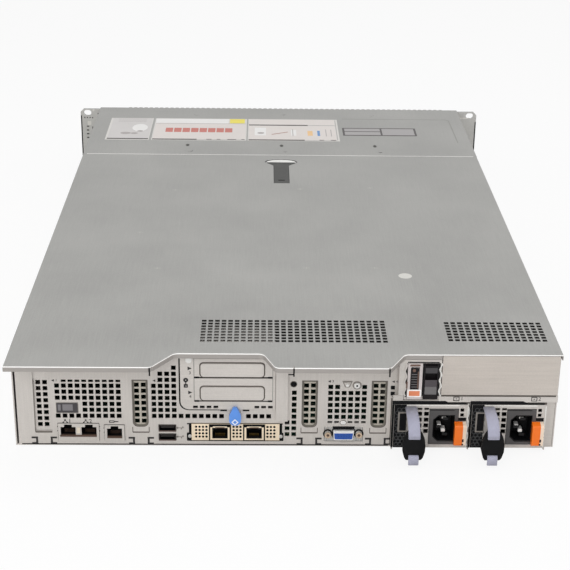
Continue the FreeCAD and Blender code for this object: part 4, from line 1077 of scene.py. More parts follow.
@dataclass
class Assembly:
    """A part of the recorder, with what most of its flat pieces share."""

    palette: Palette
    facing: Facing = Facing.REAR
    level: float = 0.0
    body: str = "chassis"
    slot: str = "zinc_sheet"

    def dress(self, finish: str, *nodes: str) -> None:
        """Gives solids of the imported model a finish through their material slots.

        Args:
            finish: name of the finish.
            nodes: the solids.
        """
        for node in nodes:
            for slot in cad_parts[node].material_slots:
                slot.material = self.palette[finish]

    def add(self, name: str, surfaces: list[Surface], finish: str, level: float | None = None,
            slot: str = "", body: str = "", facing: Facing | None = None) -> None:
        """Makes a piece of plates and rings that look one way.

        Args:
            name: name of the piece.
            surfaces: its plates and rings.
            finish: name of its finish.
            level: where out is nought, if not at the assembly's level.
            slot: the record's material slot, if not the assembly's; not used.
            body: the body that it rides on, if not the assembly's.
            facing: the way that it looks, if not the assembly's.
        """
        whole = merge(surfaces)
        corners = face_to(whole.corners, facing or self.facing, self.level if level is None else level)
        put(name, corners, whole.faces, self.palette[finish], body or self.body)


@dataclass
class Studio:
    """Camera at the photograph's angle, a pale floor and soft lamps.

    A lamp is given by its name, place, size and power. The places of lamps are in metres.
    """

    focal_px: float = 1413.85
    picture: float = 570.0
    centre_px: float = 291.49
    pitch: float = 23.30
    yaw: float = -1.33
    roll: float = 0.884
    place: Place = (-20.3, -998.9, 572.0)
    sensor: float = 36.0
    view_end: float = 20.0
    aim: Place = (0.0, -0.05, 0.04)
    lamps: tuple[tuple[str, Place, float, float], ...] = (
        ("key", (-0.25, -1.7, 1.15), 1.7, 14.5), ("over", (0.1, 0.35, 1.9), 1.8, 8.5),
        ("left", (-1.6, -0.6, 0.8), 1.2, 4.8), ("right", (1.6, -0.5, 0.9), 1.2, 5.4))
    surround: float = 0.45
    floor_glow: float = 0.88
    floor_reach: float = 6.0
    floor_z: float = -0.0006

    def build(self) -> None:
        """Makes the camera, the lamps, the world and the floor."""
        self._camera()
        self._lamps()
        self._world()
        self._floor()
        bpy.context.scene.view_settings.view_transform = "Standard"

    def _camera(self) -> None:
        """Right, up and back axes from pitch and yaw, then rolled about the view."""
        tilt, turn, roll = (math.radians(a) for a in (self.pitch, self.yaw, self.roll))
        right = np.array([math.cos(turn), math.sin(turn), 0.0])
        ahead = np.array([-math.cos(tilt) * math.sin(turn), math.cos(tilt) * math.cos(turn),
                          -math.sin(tilt)])
        up = np.cross(right, ahead)
        rolled = np.cos(roll) * right + np.sin(roll) * up
        lifted = np.cos(roll) * up - np.sin(roll) * right
        data = bpy.data.cameras.new("camera")
        data.sensor_width = self.sensor
        data.lens = self.focal_px / self.picture * self.sensor
        data.shift_x = -(self.centre_px - self.picture / 2) / self.picture
        data.clip_end = self.view_end
        camera = bpy.data.objects.new("camera", data)
        axes = np.stack([rolled, lifted, -ahead], axis=-1)
        moved = Matrix.Translation(Vector(in_metres(np.array(self.place))))
        camera.matrix_world = moved @ Matrix(axes.tolist()).to_4x4()
        bpy.context.collection.objects.link(camera)
        bpy.context.scene.camera = camera

    def _lamps(self) -> None:
        """Large soft panels: over the camera, at each side and over the far end."""
        for name, place, size, power in self.lamps:
            data = bpy.data.lights.new(name, "AREA")
            data.shape = "DISK"
            data.size = size
            data.energy = power
            lamp = bpy.data.objects.new(name, data)
            lamp.location = place
            lamp.rotation_euler = (Vector(self.aim) - Vector(place)).to_track_quat("-Z", "Y").to_euler()
            bpy.context.collection.objects.link(lamp)

    def _world(self) -> None:
        """Pale grey light all round, and white where the camera or a gloss looks at it."""
        world = bpy.data.worlds.new("world")
        world.use_nodes = True
        n = Nodes(world.node_tree)
        camera, through, gloss = n.rays("Camera", "Transmission", "Glossy")
        white = [n.node("ShaderNodeBackground", {}, {"Color": (1.0, 1.0, 1.0), "Strength": strength})
                 for strength in (self.surround, 1.0)]
        mixer = n.node("ShaderNodeMixShader", {}, {
            0: camera.most(through).most(gloss), 1: white[0].outputs[0], 2: white[1].outputs[0]})
        n.node("ShaderNodeOutputWorld", {}, {0: mixer.outputs[0]})
        bpy.context.scene.world = world

    def _floor(self) -> None:
        """A wide pale floor that keeps a faint shadow and is nearly white to the camera."""
        g = Graph("floor_paper")
        camera, through = g.rays("Camera", "Transmission")
        matte = g.node("ShaderNodeBsdfDiffuse", {}, {"Color": (0.9, 0.9, 0.9)}).outputs[0]
        glow = g.node("ShaderNodeEmission", {}, {"Color": (1.0, 1.0, 1.0), "Strength": 1.0}).outputs[0]
        share = (camera + through) * self.floor_glow
        paper = g.close(g.node("ShaderNodeMixShader", {}, {0: share, 1: matte, 2: glow}))
        mesh = bpy.data.meshes.new("floor")
        corners = [(a * self.floor_reach, b * self.floor_reach, self.floor_z)
                   for a, b in ((-1, -1), (1, -1), (1, 1), (-1, 1))]
        mesh.from_pydata(corners, [], [(0, 1, 2, 3)])
        mesh.materials.append(paper)
        floor = bpy.data.objects.new("floor", mesh)
        bpy.context.collection.objects.link(floor)


@dataclass
class Roof(Assembly):
    """The two roof panels: latch ring, printed films, seam, punched marks and the toothed far edge."""

    facing: Facing = Facing.ROOF
    level: float = ROOF_TOP
    slot: str = "white_plastic"
    films: tuple[Span, ...] = ((-199.0, -149.2), (-146.6, -38.4), (-36.9, 68.2))
    film_y: Span = (541.5, 626.5)
    film: float = 0.055
    block_x: Span = (-133.0, -54.4)
    block_y: Span = (572.4, 588.6)
    blocks: int = 8
    seam_y: Span = (488.85, 490.3)
    half: float = 213.0
    dots: Spots = ((-104.0, 523.5), (1.4, 523.5), (106.6, 524.2))
    rivets: Spots = ((-99.3, 503.8), (5.3, 504.2), (111.3, 504.0), (-100.0, 645.2), (5.3, 648.1),
                     (111.5, 646.3))
    scratches: Spots = ((-113.0, 164.0), (20.0, 166.5), (81.0, 167.5), (-135.5, 252.0), (-109.0, 372.0),
                        (91.5, 383.0), (19.0, 378.0))
    teeth_x: Span = (-184.0, 205.0)
    tooth_pitch: float = 6.3
    tooth_y: float = 671.9
    slits: tuple[float, ...] = (-105.4, 5.1, 78.7)
    slit_z: Span = (79.0, 85.8)

    def build(self) -> None:
        """Makes every piece of the roof."""
        self.dress("roof_zinc", "top_cover", "front_cover")
        self.dress("latch_black", "latch_base")
        self.dress("latch_grip", "latch_handle")
        self._films()
        self._prints()
        self._blank_strip()
        self._marks()
        self._latch_ring()
        self._edge()

    def _sheets(self, base: float, height: float, *spans: tuple[Span, Span]) -> list[Surface]:
        """Plates on the films, one for each span across and up.

        Args:
            base: height of their feet over the roof.
            height: their thickness.
            spans: where each starts and ends, across and then up.

        Returns:
            The plates.
        """
        return [plate(x, y, height, base) for x, y in spans]

    def _films(self) -> None:
        """Three films, each with a pale border, a panel and dark rules along its lower edge."""
        y0, y1 = self.film_y
        film, top = self.film, self.film / 2
        (a0, a1), (b0, b1), (c0, c1) = self.films
        grounds = self._sheets(0.0, film, *((x, self.film_y) for x in self.films))
        self.add("label_films", grounds, "label_film")
        panels = (("label_panel_1", "label_grey", [((a0 + 2.4, a1 - 0.9), (y0 + 6.0, y1 - 1.0))]),
                  ("label_panel_2", "label_pink", [((b0 + 1.4, b1 - 1.2), (y0 + 5.4, 605.6))]),
                  ("label_panel_3", "label_pink", [((c0 + 1.2, c1 - 3.6), (y0 + 5.4, 600.2)),
                                                   ((c0 + 1.2, c1 - 3.6), (604.6, y1 - 1.0))]),
                  ("label_band", "label_white", [((b0 + 1.0, -60.0), (607.6, y1 - 0.8))]))
        for name, finish, spans in panels:
            self.add(name, self._sheets(film, top, *spans), finish)
        words = ((-84.0, -78.0), (-72.0, -68.0), (-60.0, -50.0), (-44.0, -40.5), (45.0, 50.0), (58.0, 64.0))
        self.add("label_rules", self._sheets(
            film, film, ((a0 + 2.0, a1 - 1.0), (543.9, 547.4)), ((b0 + 1.2, -95.0), (543.1, 546.6)),
            ((c0 + 1.0, 28.0), (542.9, 546.4)), ((c0 + 1.0, 33.0), (600.7, 604.2)),
            *((x, (544.2, 546.2)) for x in words)), "label_ink")
        self.add("label_thin_rules", self._sheets(
            film, film, ((b0 + 1.0, b1 - 1.2), (605.9, 606.9)), ((-95.0, b1 - 1.2), (543.6, 544.6)),
            ((28.0, c1 - 3.0), (543.4, 544.4)), ((33.0, c1 - 3.0), (601.6, 603.0)),
            ((c1 - 2.8, c1 - 2.0), (546.0, y1 - 3.0))), "label_shade")

    def _prints(self) -> None:
        """Coloured blocks and a few plain shapes on the films."""
        base, top = 1.5 * self.film, self.film / 2
        x0, x1 = self.block_x
        pitch = (x1 - x0) / self.blocks
        centres = [(x0 + pitch * (i + 0.5), sum(self.block_y) / 2) for i in range(self.blocks)]
        block = rounded(pitch - 1.3, self.block_y[1] - self.block_y[0])
        self.add("label_blocks", [stamp(block, centres, top, 0.0, base)], "label_red")
        for name, x, y, finish in (("label_patch", (-58.6, -41.0), (608.4, 625.6), "label_yellow"),
                                   ("label_square", (32.0, 38.0), (562.0, 580.6), "label_orange"),
                                   ("label_bar", (43.3, 46.4), (561.5, 581.3), "label_blue")):
            self.add(name, [plate(x, y, top, base)], finish)
        stroke = ribbon(np.array([(-9.4, 565.9), (9.3, 575.7)]), 1.9)
        self.add("label_stroke", [stamp(stroke, ORIGIN, top, 0.0, base)], "label_brown")
        pale = self._sheets(base, top, ((-29.0, -16.0), (562.0, 592.0)), ((13.0, 19.0), (562.0, 584.0)))
        self.add("label_pale_shapes", pale + [stamp(oval(9.0, 14.0), [(-162.5, 588.5)], top, 0.0, base)],
                 "label_white")
        shades = [stamp(oval(6.0, 4.4), [(-177.5, 566.8)], top, 0.0, base),
                  stamp(oval(4.2, 3.0), [(-167.6, 566.2)], top, 0.0, 2 * base),
                  stamp(oval(3.4, 2.4), [(-161.5, 575.0)], top, 0.0, 2 * base),
                  stamp(oval(4.0, 3.0), [(-22.0, 571.0)], top, 0.0, 2 * base)]
        shades += self._sheets(base, top, *(((-190.0, -157.0), (y, y + 0.8)) for y in (612.0, 617.0, 622.0)))
        shades += self._sheets(2 * base, top, *(((x, x + 0.8), (560.0, 586.0)) for x in (14.6, 53.0, 59.0)))
        self.add("label_shades", shades, "label_shade")

    def _blank_strip(self) -> None:
        """A blank bordered strip beside the films."""
        film = self.film
        self.add("blank_strip", [plate((72.9, 158.4), (563.8, 593.8), film)], "strip_ink")
        self.add("blank_strip_panels", self._sheets(
            film, film, ((75.3, 116.6), (566.6, 578.4)), ((75.3, 116.6), (580.8, 591.0)),
            ((118.8, 156.0), (566.6, 591.0))), "strip_grey")

    def _marks(self) -> None:
        """Painted seam highlight, punched dots and half rings, pressed fold, round mark and handling marks.
        """
        film = self.film
        # A painted highlight along the seam.
        self.add("seam_highlight", [plate((-self.half, self.half), self.seam_y, film)], "highlight_and_spring")
        # Painted shade in the punched dots, round their rims and in half rings on the rivets.
        self.add("punched_dots", [stamp(oval(1.8, 3.9), self.dots, film)], "hollow_shade")
        self.add("dot_edge_highlights", [band(oval(2.6, 5.0), oval(1.9, 4.0), self.dots, film)], "fold_shade")
        half = half_ring((2.0, 3.6), (1.3, 2.2), np.pi, 13)
        self.add("rivet_shades", [stamp(half, self.rivets, film)], "hollow_shade")
        # Painted shade along the pressed fold.
        fold = rounded_path([(75.0, 630.0), (201.9, 630.0), (202.4, 539.0)], [0, 6.0, 0])
        self.add("pressed_fold", [stamp(ribbon(fold, 1.3), ORIGIN, film)], "fold_shade")
        self.add("round_mark", [stamp(disc(6.0, 24), [(106.7, 149.6)], film)], "mark_pale", body="cover")
        self.add("handling_marks", [stamp(rounded(6.4, 0.7, 0.3), self.scratches, film / 2),
                                    stamp(rounded(0.7, 4.2, 0.3), self.scratches, film)], "scratch_pale",
                 body="cover")

    def _latch_ring(self) -> None:
        """Painted shadow in a half ring round the latch's hinge and a painted highlight in a crescent inside
        it.
        """
        centre = [(0.3, 464.4)]
        ring = half_ring((17.6, 10.4), (16.2, 9.2), 0.0, 25)
        self.add("latch_ring", [stamp(ring, centre, self.film)], "shadow", body="cover")
        # A painted highlight in a crescent inside the ring.
        edge = half_arc(16.0, 9.0, 0.0, 25)
        self.add("latch_highlight", [stamp(edge, centre, self.film / 2)], "highlight_and_spring", body="cover")

    def _edge(self) -> None:
        """Small rounded teeth along the far edge and dark slits in the flange."""
        count = int((self.teeth_x[1] - self.teeth_x[0]) / self.tooth_pitch)
        centres = [(self.teeth_x[0] + self.tooth_pitch * (i + 0.5), self.tooth_y) for i in range(count)]
        self.add("edge_teeth", [stamp(rounded(4.0, 2.0, 0.8, 2), centres, 1.0, 0.0, -1.05)], "roof_zinc",
                 slot="roof_sheet")
        slits = [plate((x - 0.6, x + 0.6), self.slit_z, THIN) for x in self.slits]
        self.add("flange_slits", slits, "shadow", rear_face(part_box("top_cover")), "roof_sheet", "cover",
                 Facing.REAR)


@dataclass
class RearWall(Assembly):
    """The perforated wall with its brackets, sockets, badge and screws."""

    slot: str = "black_plastic"
    jack_x: tuple[float, ...] = (-174.5, -157.8, -137.4)
    jack_z: tuple[float, ...] = (8.1, 8.1, 6.8)
    jack: tuple[float, float] = (12.0, 8.7)
    brackets: tuple[float, ...] = (-194.0, -116.2, 18.9, 74.3)
    window: tuple[float, float, float] = (12.0, 17.4, 59.0)
    window_r: float = 4.0
    wall_end_z: Span = (44.0, 72.0)
    usb_x: Span = (-101.9, -88.2)
    usb_z: tuple[float, ...] = (4.7, 12.9)
    display: tuple[float, float] = (46.6, 10.9)

    def build(self) -> None:
        """Makes every piece of the rear wall."""
        self.dress("wall_zinc", "rear_wall")
        self.dress("panel_zinc", "socket_panel")
        self.dress("tray_zinc", "chassis_tray")
        self.dress("bracket_zinc", "slot_brackets")
        self.dress("jack_zinc", "lan_sockets")
        self.add("wall_foot", [plate((-212.0, 83.0), (0.6, 1.5), THIN)], "shadow")
        self._wall_end()
        self._jacks()
        self._badge()
        self._brackets()
        self._fasteners()
        self._usb()
        self._display_socket()

    def _wall_end(self) -> None:
        """The wall's last strip beside the supplies, with its two square holes, and a dark corner."""
        span = self.wall_end_z
        self.add("wall_end", [plate((80.4, 90.4), span, 1.03, -1.0)], "panel_zinc", slot="zinc_sheet")
        holes = stamp(rounded(3.3, 3.3, 0.4), [(84.8, 53.4), (84.9, 48.0)], THIN)
        self.add("wall_end_holes", [holes], "shadow")
        self.add("wall_end_gap", [plate((90.4, 91.4), span, THIN)], "shadow")
        self.add("wall_corner", [plate((-1.5, -0.5), (64.0, 70.0), THIN),
                                 plate((-1.5, 5.5), (64.0, 65.0), THIN)], "shadow")

    def _jacks(self) -> None:
        """Contacts, clips, lamp windows and number marks of the three jacks."""
        wide, tall = self.jack
        wells = list(zip(self.jack_x, self.jack_z))
        contacts = [stamp(rounded(0.5, 2.8), comb(x, z + 1.7), 1.2, 0.2) for x, z in wells]
        self.add("jack_contacts", contacts, "jack_brown", 7.6, "connector_metal")
        floors = [stamp(rounded(wide - 0.8, tall - 1.0), [(x, z + tall / 2)], 0.4) for x, z in wells]
        self.add("jack_floors", floors, "shadow", 12.2)
        lips = [stamp(rounded(wide - 0.6, 1.1), [(x, z + 0.75)], 0.4) for x, z in wells]
        self.add("jack_lips", lips, "jack_brown", 1.4)
        self.add("jack_strip", [plate((-181.0, -151.7), (8.1, 9.8), 0.3, 0.1),
                                plate((-143.4, -131.4), (6.9, 8.4), 0.3, 0.1)], "jack_brown", -0.6)
        places = [(-182.3, 15.0), (-149.9, 15.0), (-145.2, 13.8), (-130.3, 13.6)]
        ends = [(x, z + side * 1.9) for x, z in places for side in SIDES]
        self.add("jack_clips", [stamp(rounded(0.8, 4.2), places, INK), stamp(rounded(1.8, 0.8), ends, THIN)],
                 "shadow")
        divider = stamp(rounded(2.6, 5.2, 0.4), [(-166.2, 13.9)], 0.3, 0.1)
        self.add("jack_divider", [divider], "cream_block", -0.6, "white_plastic")
        marks = [figures("1", 5.0, (-172.9, 21.8), INK), figures("2", 5.0, (-156.3, 21.8), INK)]
        peak = ribbon(np.array([(-1.6, 20.9), (0.0, 22.6), (1.6, 20.9)]), 0.5)
        for x in (-176.6, -160.2):
            marks.append(stamp(rounded(1.3, 1.3), [(x, 22.9), (x - 1.6, 20.5), (x + 1.6, 20.5)], INK))
            marks.append(stamp(peak, [(x, 0.0)], THIN))
        marks.append(band(rounded(4.4, 2.0, 0.6), rounded(3.2, 0.8, 0.2), [(-139.4, 21.6)], INK))
        marks.append(stamp(rounded(3.4, 0.8, 0.2), [(-135.8, 21.6)], INK))
        self.add("jack_marks", marks, "dark_print_and_shade")

    def _badge(self) -> None:
        """Blank dark badge over the jacks."""
        for name, size, centre, height, bevel, finish in (
                ("rim", (17.8, 9.6, 0.6), (-174.4, 34.05), 0.25, 0.1, "mark_grey"),
                ("plate", (16.9, 8.7, 0.5), (-174.4, 34.05), 0.35, 0.1, "badge"),
                ("block", (8.2, 5.6, 0.2), (-174.0, 34.4), 0.42, 0.05, "badge_pale"),
                ("square", (2.2, 5.4, 0.2), (-180.6, 34.3), 0.42, 0.05, "badge_pale")):
            self.add(f"badge_{name}", [stamp(rounded(*size), [centre], height, bevel)], finish)

    def _brackets(self) -> None:
        """Painted shade round and in the bracket windows, on crease lines and in foot slots; slot numbers."""
        width, z0, z1 = self.window
        radius = self.window_r
        deep = [(x, 0.0) for x in self.brackets[1:]]
        # Painted shade at the windows' edges, and on a band recessed inside them.
        edge = band(scoop(width + 0.7, z0 - 0.35, z1 + 0.35, radius + 0.35),
                    scoop(width - 0.9, z0 + 0.45, z1 - 0.45, radius - 0.45), deep, 0.08)
        self.add("window_edges", [edge], "edge_shade")
        shade = band(scoop(width - 0.2, z0 + 0.1, z1 - 0.1, radius),
                     scoop(width - 2.8, z0 + 1.4, z1 - 1.4, radius - 1.3), deep, 0.06)
        self.add("window_shades", [shade], "window_shade", 1.09)
        # Painted shade along the crease lines and down the first bracket's left side.
        sides = [(x + side * 6.6, 14.5) for x in self.brackets[1:] for side in SIDES]
        self.add("bracket_creases", [
            stamp(rounded(13.4, 1.1), [(x, 12.1) for x in self.brackets], THIN),
            stamp(rounded(0.6, 4.6), sides, THIN),
            stamp(ribbon(np.array([(-200.7, 12.2), (-200.3, 59.0)]), 0.6), ORIGIN, THIN)], "edge_shade")
        # Painted shade in the foot slots.
        bars = []
        for x in self.brackets:
            for side in SIDES:
                bars.append(stamp(rounded(5.2, 1.6, 0.2), [(x + side * 7.6, 6.9)], THIN))
                bars.append(stamp(rounded(1.6, 4.6, 0.2), [(x + side * 5.9, 4.8)], INK))
                bars.append(stamp(rounded(5.0, 1.2, 0.2), [(x + side * 7.5, 2.0)], THIN))
        self.add("foot_slots", bars, "dark_print_and_shade")
        point = np.array([(-1.2, 0.0), (0.9, -1.1), (0.9, 1.1)])
        marks = []
        for number, (x, z) in enumerate(((-184.6, 58.4), (-104.6, 58.6), (34.4, 58.7), (85.2, 58.7))):
            marks += [stamp(point, [(x, z)], INK), figures(str(number + 1), 3.0, (x + 2.7, z), INK)]
        self.add("slot_numbers", marks, "dark_print_and_shade")

    def _fasteners(self) -> None:
        """Screw, catch, nut and a punched hole beside the display socket."""
        hole, spot, nut = [(5.9, 56.0)], [(56.3, 55.3)], [(46.1, 21.6)]
        self.add("punched_hole", [stamp(disc(2.3, 24), hole, THIN)], "shadow")
        # Painted shade round the punched hole.
        self.add("hole_ring_shade", [band(disc(2.8, 24), disc(2.3, 24), hole, INK)], "edge_shade")
        self.add("screw_halo", [band(disc(3.7, 28), disc(2.5, 28), spot, THIN)], "mark_grey")
        self.add("screw_head", [stamp(disc(2.5, 28), spot, 1.3, 0.35)], "screw_white", slot="stud_steel")
        self.add("screw_cross", [stamp(disc(0.9, 6), spot, THIN, 0.0, 1.3)], "shadow")
        catch = np.array([(-1.6, -2.6), (1.6, -2.6), (3.6, 2.4), (-3.6, 2.4)])
        self.add("catch_shade", [stamp(catch * 1.16, [(48.6, 56.4)], INK)], "mark_grey")
        self.add("wall_catch", [stamp(catch * 0.8, [(48.6, 56.2)], 0.9, 0.3)], "bracket_zinc",
                 slot="zinc_sheet")
        self.add("catch_rivet", [stamp(disc(1.3, 16), [(48.7, 55.7)], 0.4, 0.15, 0.9)], "screw_white")
        self.add("oval_nut", [stamp(rounded(4.6, 3.0, 1.4), nut, 0.8, 0.3)], "screw_white", slot="stud_steel")
        # Painted shade round the oval nut.
        self.add("nut_ring_shade", [band(rounded(5.6, 3.9, 1.9), rounded(4.6, 2.9, 1.4), nut, THIN)], "edge_shade")

    def _usb(self) -> None:
        """Painted shade inside the two flat sockets, their lower lips and the marks beside them."""
        x0, x1 = self.usb_x
        self.dress("usb_shell", "usb_sockets")
        lips = [plate(self.usb_x, (z, z + 0.8), THIN) for z in (4.8, 13.1)]
        self.add("usb_lips", lips, "usb_bronze", rear_face(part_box("usb_sockets")))
        centres = [((x0 + x1) / 2, z + 3.0) for z in self.usb_z]
        self.add("usb_floors", [stamp(rounded(x1 - x0 - 1.6, 4.4), centres, 0.3)], "shadow", 11.6)
        self.add("usb_marks", [
            stamp(rounded(5.4, 0.5), [(-84.6, 8.0), (-84.6, 16.2)], THIN),
            stamp(disc(0.9, 12), [(-87.0, 8.0), (-87.0, 16.2)], THIN),
            stamp(rounded(1.0, 1.0), [(-82.6, 8.8), (-82.6, 17.0)], THIN),
            stamp(disc(0.6, 10), [(-83.8, 7.1), (-83.8, 15.3)], THIN)], "mark_grey")

    def _display_socket(self) -> None:
        """Blue face in its bright rim, with a painted shadow over it and two brass posts in painted shadow
        rings.
        """
        x, z = self.display
        here = [self.display]
        # Painted shadow in the gap over the socket's top.
        top_shadow = np.array([(-8.6, 5.0), (8.6, 5.0), (8.9, 7.2), (-8.9, 7.2)])
        self.add("display_top_shadow", [stamp(top_shadow, here, 0.5, 0.1)], "shadow")
        side = trapezium((9.2, 4.6), (8.7, -2.8), (7.2, -4.8))
        rim = trapezium((8.3, 4.2), (7.9, -2.6), (6.9, -4.1))
        blue = trapezium((7.6, 2.2), (7.2, -2.4), (6.4, -3.3))
        self.add("display_shade", [band(side, rim, here, 0.4)], "shadow", 0.4)
        self.add("display_rim", [band(rim, blue, here, 3.0)], "rim_white", 0.4, "connector_metal")
        self.add("display_face", [stamp(blue, here, 2.85, 0.15)], "video_blue", slot="video_blue")
        pins = [(x + shift + 2.2 * (i - 2), z + row)
                for row, shift in ((1.1, 0.0), (-0.4, 0.5), (-1.9, 0.0)) for i in range(5)]
        self.add("display_pins", [stamp(disc(0.34, 8), pins, THIN, 0.0, 2.8)], "video_dark")
        posts = [(x - 12.6, z + 0.5), (x + 12.4, z + 0.6)]
        self.add("post_rings", [band(disc(3.9, 24), disc(2.7, 24), posts, 0.15)], "shadow")
        self.add("post_faces", [band(disc(2.7, 18), disc(1.2, 18), posts, 0.3)], "brass", -2.8, "stud_steel")
        self.add("post_bores", [stamp(disc(1.2, 12), posts, 0.2)], "jack_brown", -2.7)


@dataclass
class NetworkCard(Assembly):
    """The low card: cream plate with dots, two outlined jacks, a dark gap round it and its screws."""

    slot: str = "cream_plate"
    jacks: Span = (-52.8, -25.4)
    jack: tuple[float, float] = (15.9, 13.4)
    middle: float = 12.4
    low: float = 7.2
    dot_groups: tuple[tuple[float, int], ...] = ((-67.8, 4), (-39.1, 3), (-11.9, 3))
    dot_rows: tuple[float, ...] = (17.7, 14.7, 11.7, 8.7)
    dot_pitch: float = 2.76
    face: float = -0.8
    plate_size: tuple[float, float] = (69.6, 14.4)

    def build(self) -> None:
        """Makes the card's pieces."""
        self.dress("cream", "network_card_plate")
        self.dress("black", "network_card")
        dots = [(x + self.dot_pitch * (i - (n - 1) / 2), z)
                for x, n in self.dot_groups for i in range(n) for z in self.dot_rows]
        self.add("card_dots", [stamp(disc(1.0, 12), dots, 0.08)], "shadow", self.face)
        centres = [(x, self.middle) for x in self.jacks]
        wide, tall = self.jack
        outline = band(rounded(wide + 1.8, tall + 1.8), rounded(wide + 0.2, tall + 0.2), centres, THIN)
        notches = [(x + side * (wide / 2 - 1.1), self.middle + tall / 2 - 0.6)
                   for x in self.jacks for side in SIDES]
        self.add("card_jack_outlines", [outline, stamp(rounded(2.4, 1.5, 0.3), notches, 1.0)], "shadow",
                 self.face)
        rings = band(rounded(wide - 0.4, tall - 1.2), rounded(wide - 3.4, tall - 3.6), centres, INK)
        self.add("card_jack_frames", [rings], "cream", -1.6)
        contacts = [spot for x in self.jacks for spot in comb(x, self.low + 1.7)]
        self.add("card_contacts", [stamp(rounded(0.5, 2.2), contacts, 1.2, 0.2)], "gold_dark", 3.4)
        floors = stamp(rounded(11.0, 8.0), [(x, 11.6) for x in self.jacks], 0.3)
        self.add("card_floors", [floors], "shadow", 11.2)
        slots = stamp(rounded(7.6, 0.9, 0.3), [(x, 17.4) for x in self.jacks], THIN)
        self.add("card_slots", [slots], "jack_brown", -1.7)
        self._rim()

    def _rim(self) -> None:
        """Dark gap round the plate, wider at its two screws."""
        wide, tall = self.plate_size
        x = sum(self.jacks) / 2 - 1.5
        gap = band(rounded(wide + 1.6, tall + 2.0), rounded(wide - 0.6, tall - 0.6), [(x, 12.5)], THIN)
        self.add("card_gap", [gap, stamp(rounded(3.8, 7.6, 0.8), [(-77.6, 8.2), (-3.6, 8.2)], INK),
                              stamp(rounded(3.2, 1.1), [(-77.6, 20.0), (-4.0, 20.0)], INK),
                              stamp(rounded(0.9, 6.0), [(-76.4, 15.2), (-4.8, 15.2)], INK)], "shadow")
        self.add("card_hole_back", [plate((-2.0, 4.0), (18.5, 24.0), THIN)], "shadow", 1.4)
        self.add("card_screws", [stamp(disc(1.5, 20), [(-77.0, 8.9), (-3.9, 8.8)], 1.0, 0.3)], "steel")


@dataclass
class Riser(Assembly):
    """The riser's panel: pressings with painted shade round them, gaps, rivet, small marks and the blue pull
    tab.
    """

    level: float = -1.3
    pressing_x: Span = (-67.7, -17.9)
    pressing_h: float = 11.4
    middles: Span = (69.0, 48.3)
    corner: tuple[float, float] = (-84.6, 32.9)
    window_x: Span = (-73.0, -10.8)
    gaps: Span = (62.3, 41.3)
    holes: tuple[float, ...] = (-72.2, -66.8, -61.4, -56.0, -23.3, -17.9, -12.5)
    tab: tuple[float, float] = (-40.7, 23.7)
    tab_face: float = -4.2

    def build(self) -> None:
        """Makes the riser's pieces."""
        self.dress("riser_zinc", "riser_panel", "slot_fillers")
        self.dress("tab_blue", "release_tab")
        x0, x1 = self.pressing_x
        wide, middle = x1 - x0, (x0 + x1) / 2
        # Painted shade round the base of each pressing.
        outer = rounded(wide + 2.2, self.pressing_h + 2.2, 3.3, 4)
        inner = rounded(wide + 0.3, self.pressing_h + 0.3, 2.5, 4)
        outlines = band(outer, inner, [(middle, z) for z in self.middles], INK)
        self.add("pressing_outlines", [outlines], "outline_shade")
        self.add("riser_rivet", [stamp(disc(2.7, 24), [(-77.1, 77.6)], 0.6, 0.3)], "screw_white")
        self._gaps()
        self._marks()
        diamond = band(disc(2.9, 4), disc(1.7, 4), [self.tab], 0.15)
        self.add("tab_diamond", [diamond], "diamond", self.tab_face, "white_plastic", "tab")

    def _gaps(self) -> None:
        """Dark gaps: round the panel's left and lower edge, between the fillers and beside the tab."""
        x, z = self.corner
        path = rounded_path([(x, 79.0), (x, z), (-53.0, z)], [0, 8.0, 0])
        self.add("panel_gap", [stamp(ribbon(path, 1.3), ORIGIN, THIN)], "shadow", 0.0)
        x0, x1 = self.window_x
        lines = [stamp(rounded(x1 - x0, 0.9), [((x0 + x1) / 2, z) for z in self.gaps], THIN),
                 stamp(rounded(4.0, 1.5, 0.5), [(x0 + 2.0, z) for z in self.gaps], INK),
                 stamp(rounded(4.0, 1.5, 0.5), [(x1 - 2.0, z) for z in self.gaps], INK)]
        self.add("filler_gaps", lines, "shadow")
        # Painted shade down the sides of the fillers' window.
        self.add("filler_sides", [stamp(rounded(0.45, 37.0), [(x0, 60.0), (x1, 60.0)], THIN)], "fold_shade")
        self.add("tab_clips", [stamp(rounded(5.4, 1.4, 0.3), [(-49.8, 33.0), (-31.9, 33.0)], INK)], "shadow")
        backs = stamp(rounded(4.2, 2.8), [(x, 35.9) for x in self.holes], THIN)
        self.add("panel_hole_backs", [backs], "shadow", -0.1)

    def _marks(self) -> None:
        """Two latch eyes, pointers and slot numbers at the left of the panel."""
        point = np.array([(-1.5, -1.6), (1.7, 0.0), (-1.5, 1.6)])
        self.add("riser_marks", [
            stamp(disc(2.0, 14), [(-79.6, 59.9)], INK), stamp(rounded(3.2, 3.2, 0.5), [(-79.6, 54.8)], INK),
            stamp(rounded(0.8, 2.6), [(-79.6, 57.4)], INK), stamp(point, [(-76.5, 70.2), (-76.3, 48.9)], INK),
            figures("3", 3.6, (-76.2, 66.2), INK), figures("4", 3.6, (-76.1, 45.1), INK)], "dark_print_and_shade")
        eyes = stamp(disc(0.4, 10), [(-79.6, 59.9), (-79.4, 54.6)], THIN, 0.0, THIN)
        self.add("eye_centres", [eyes], "mark_pale")


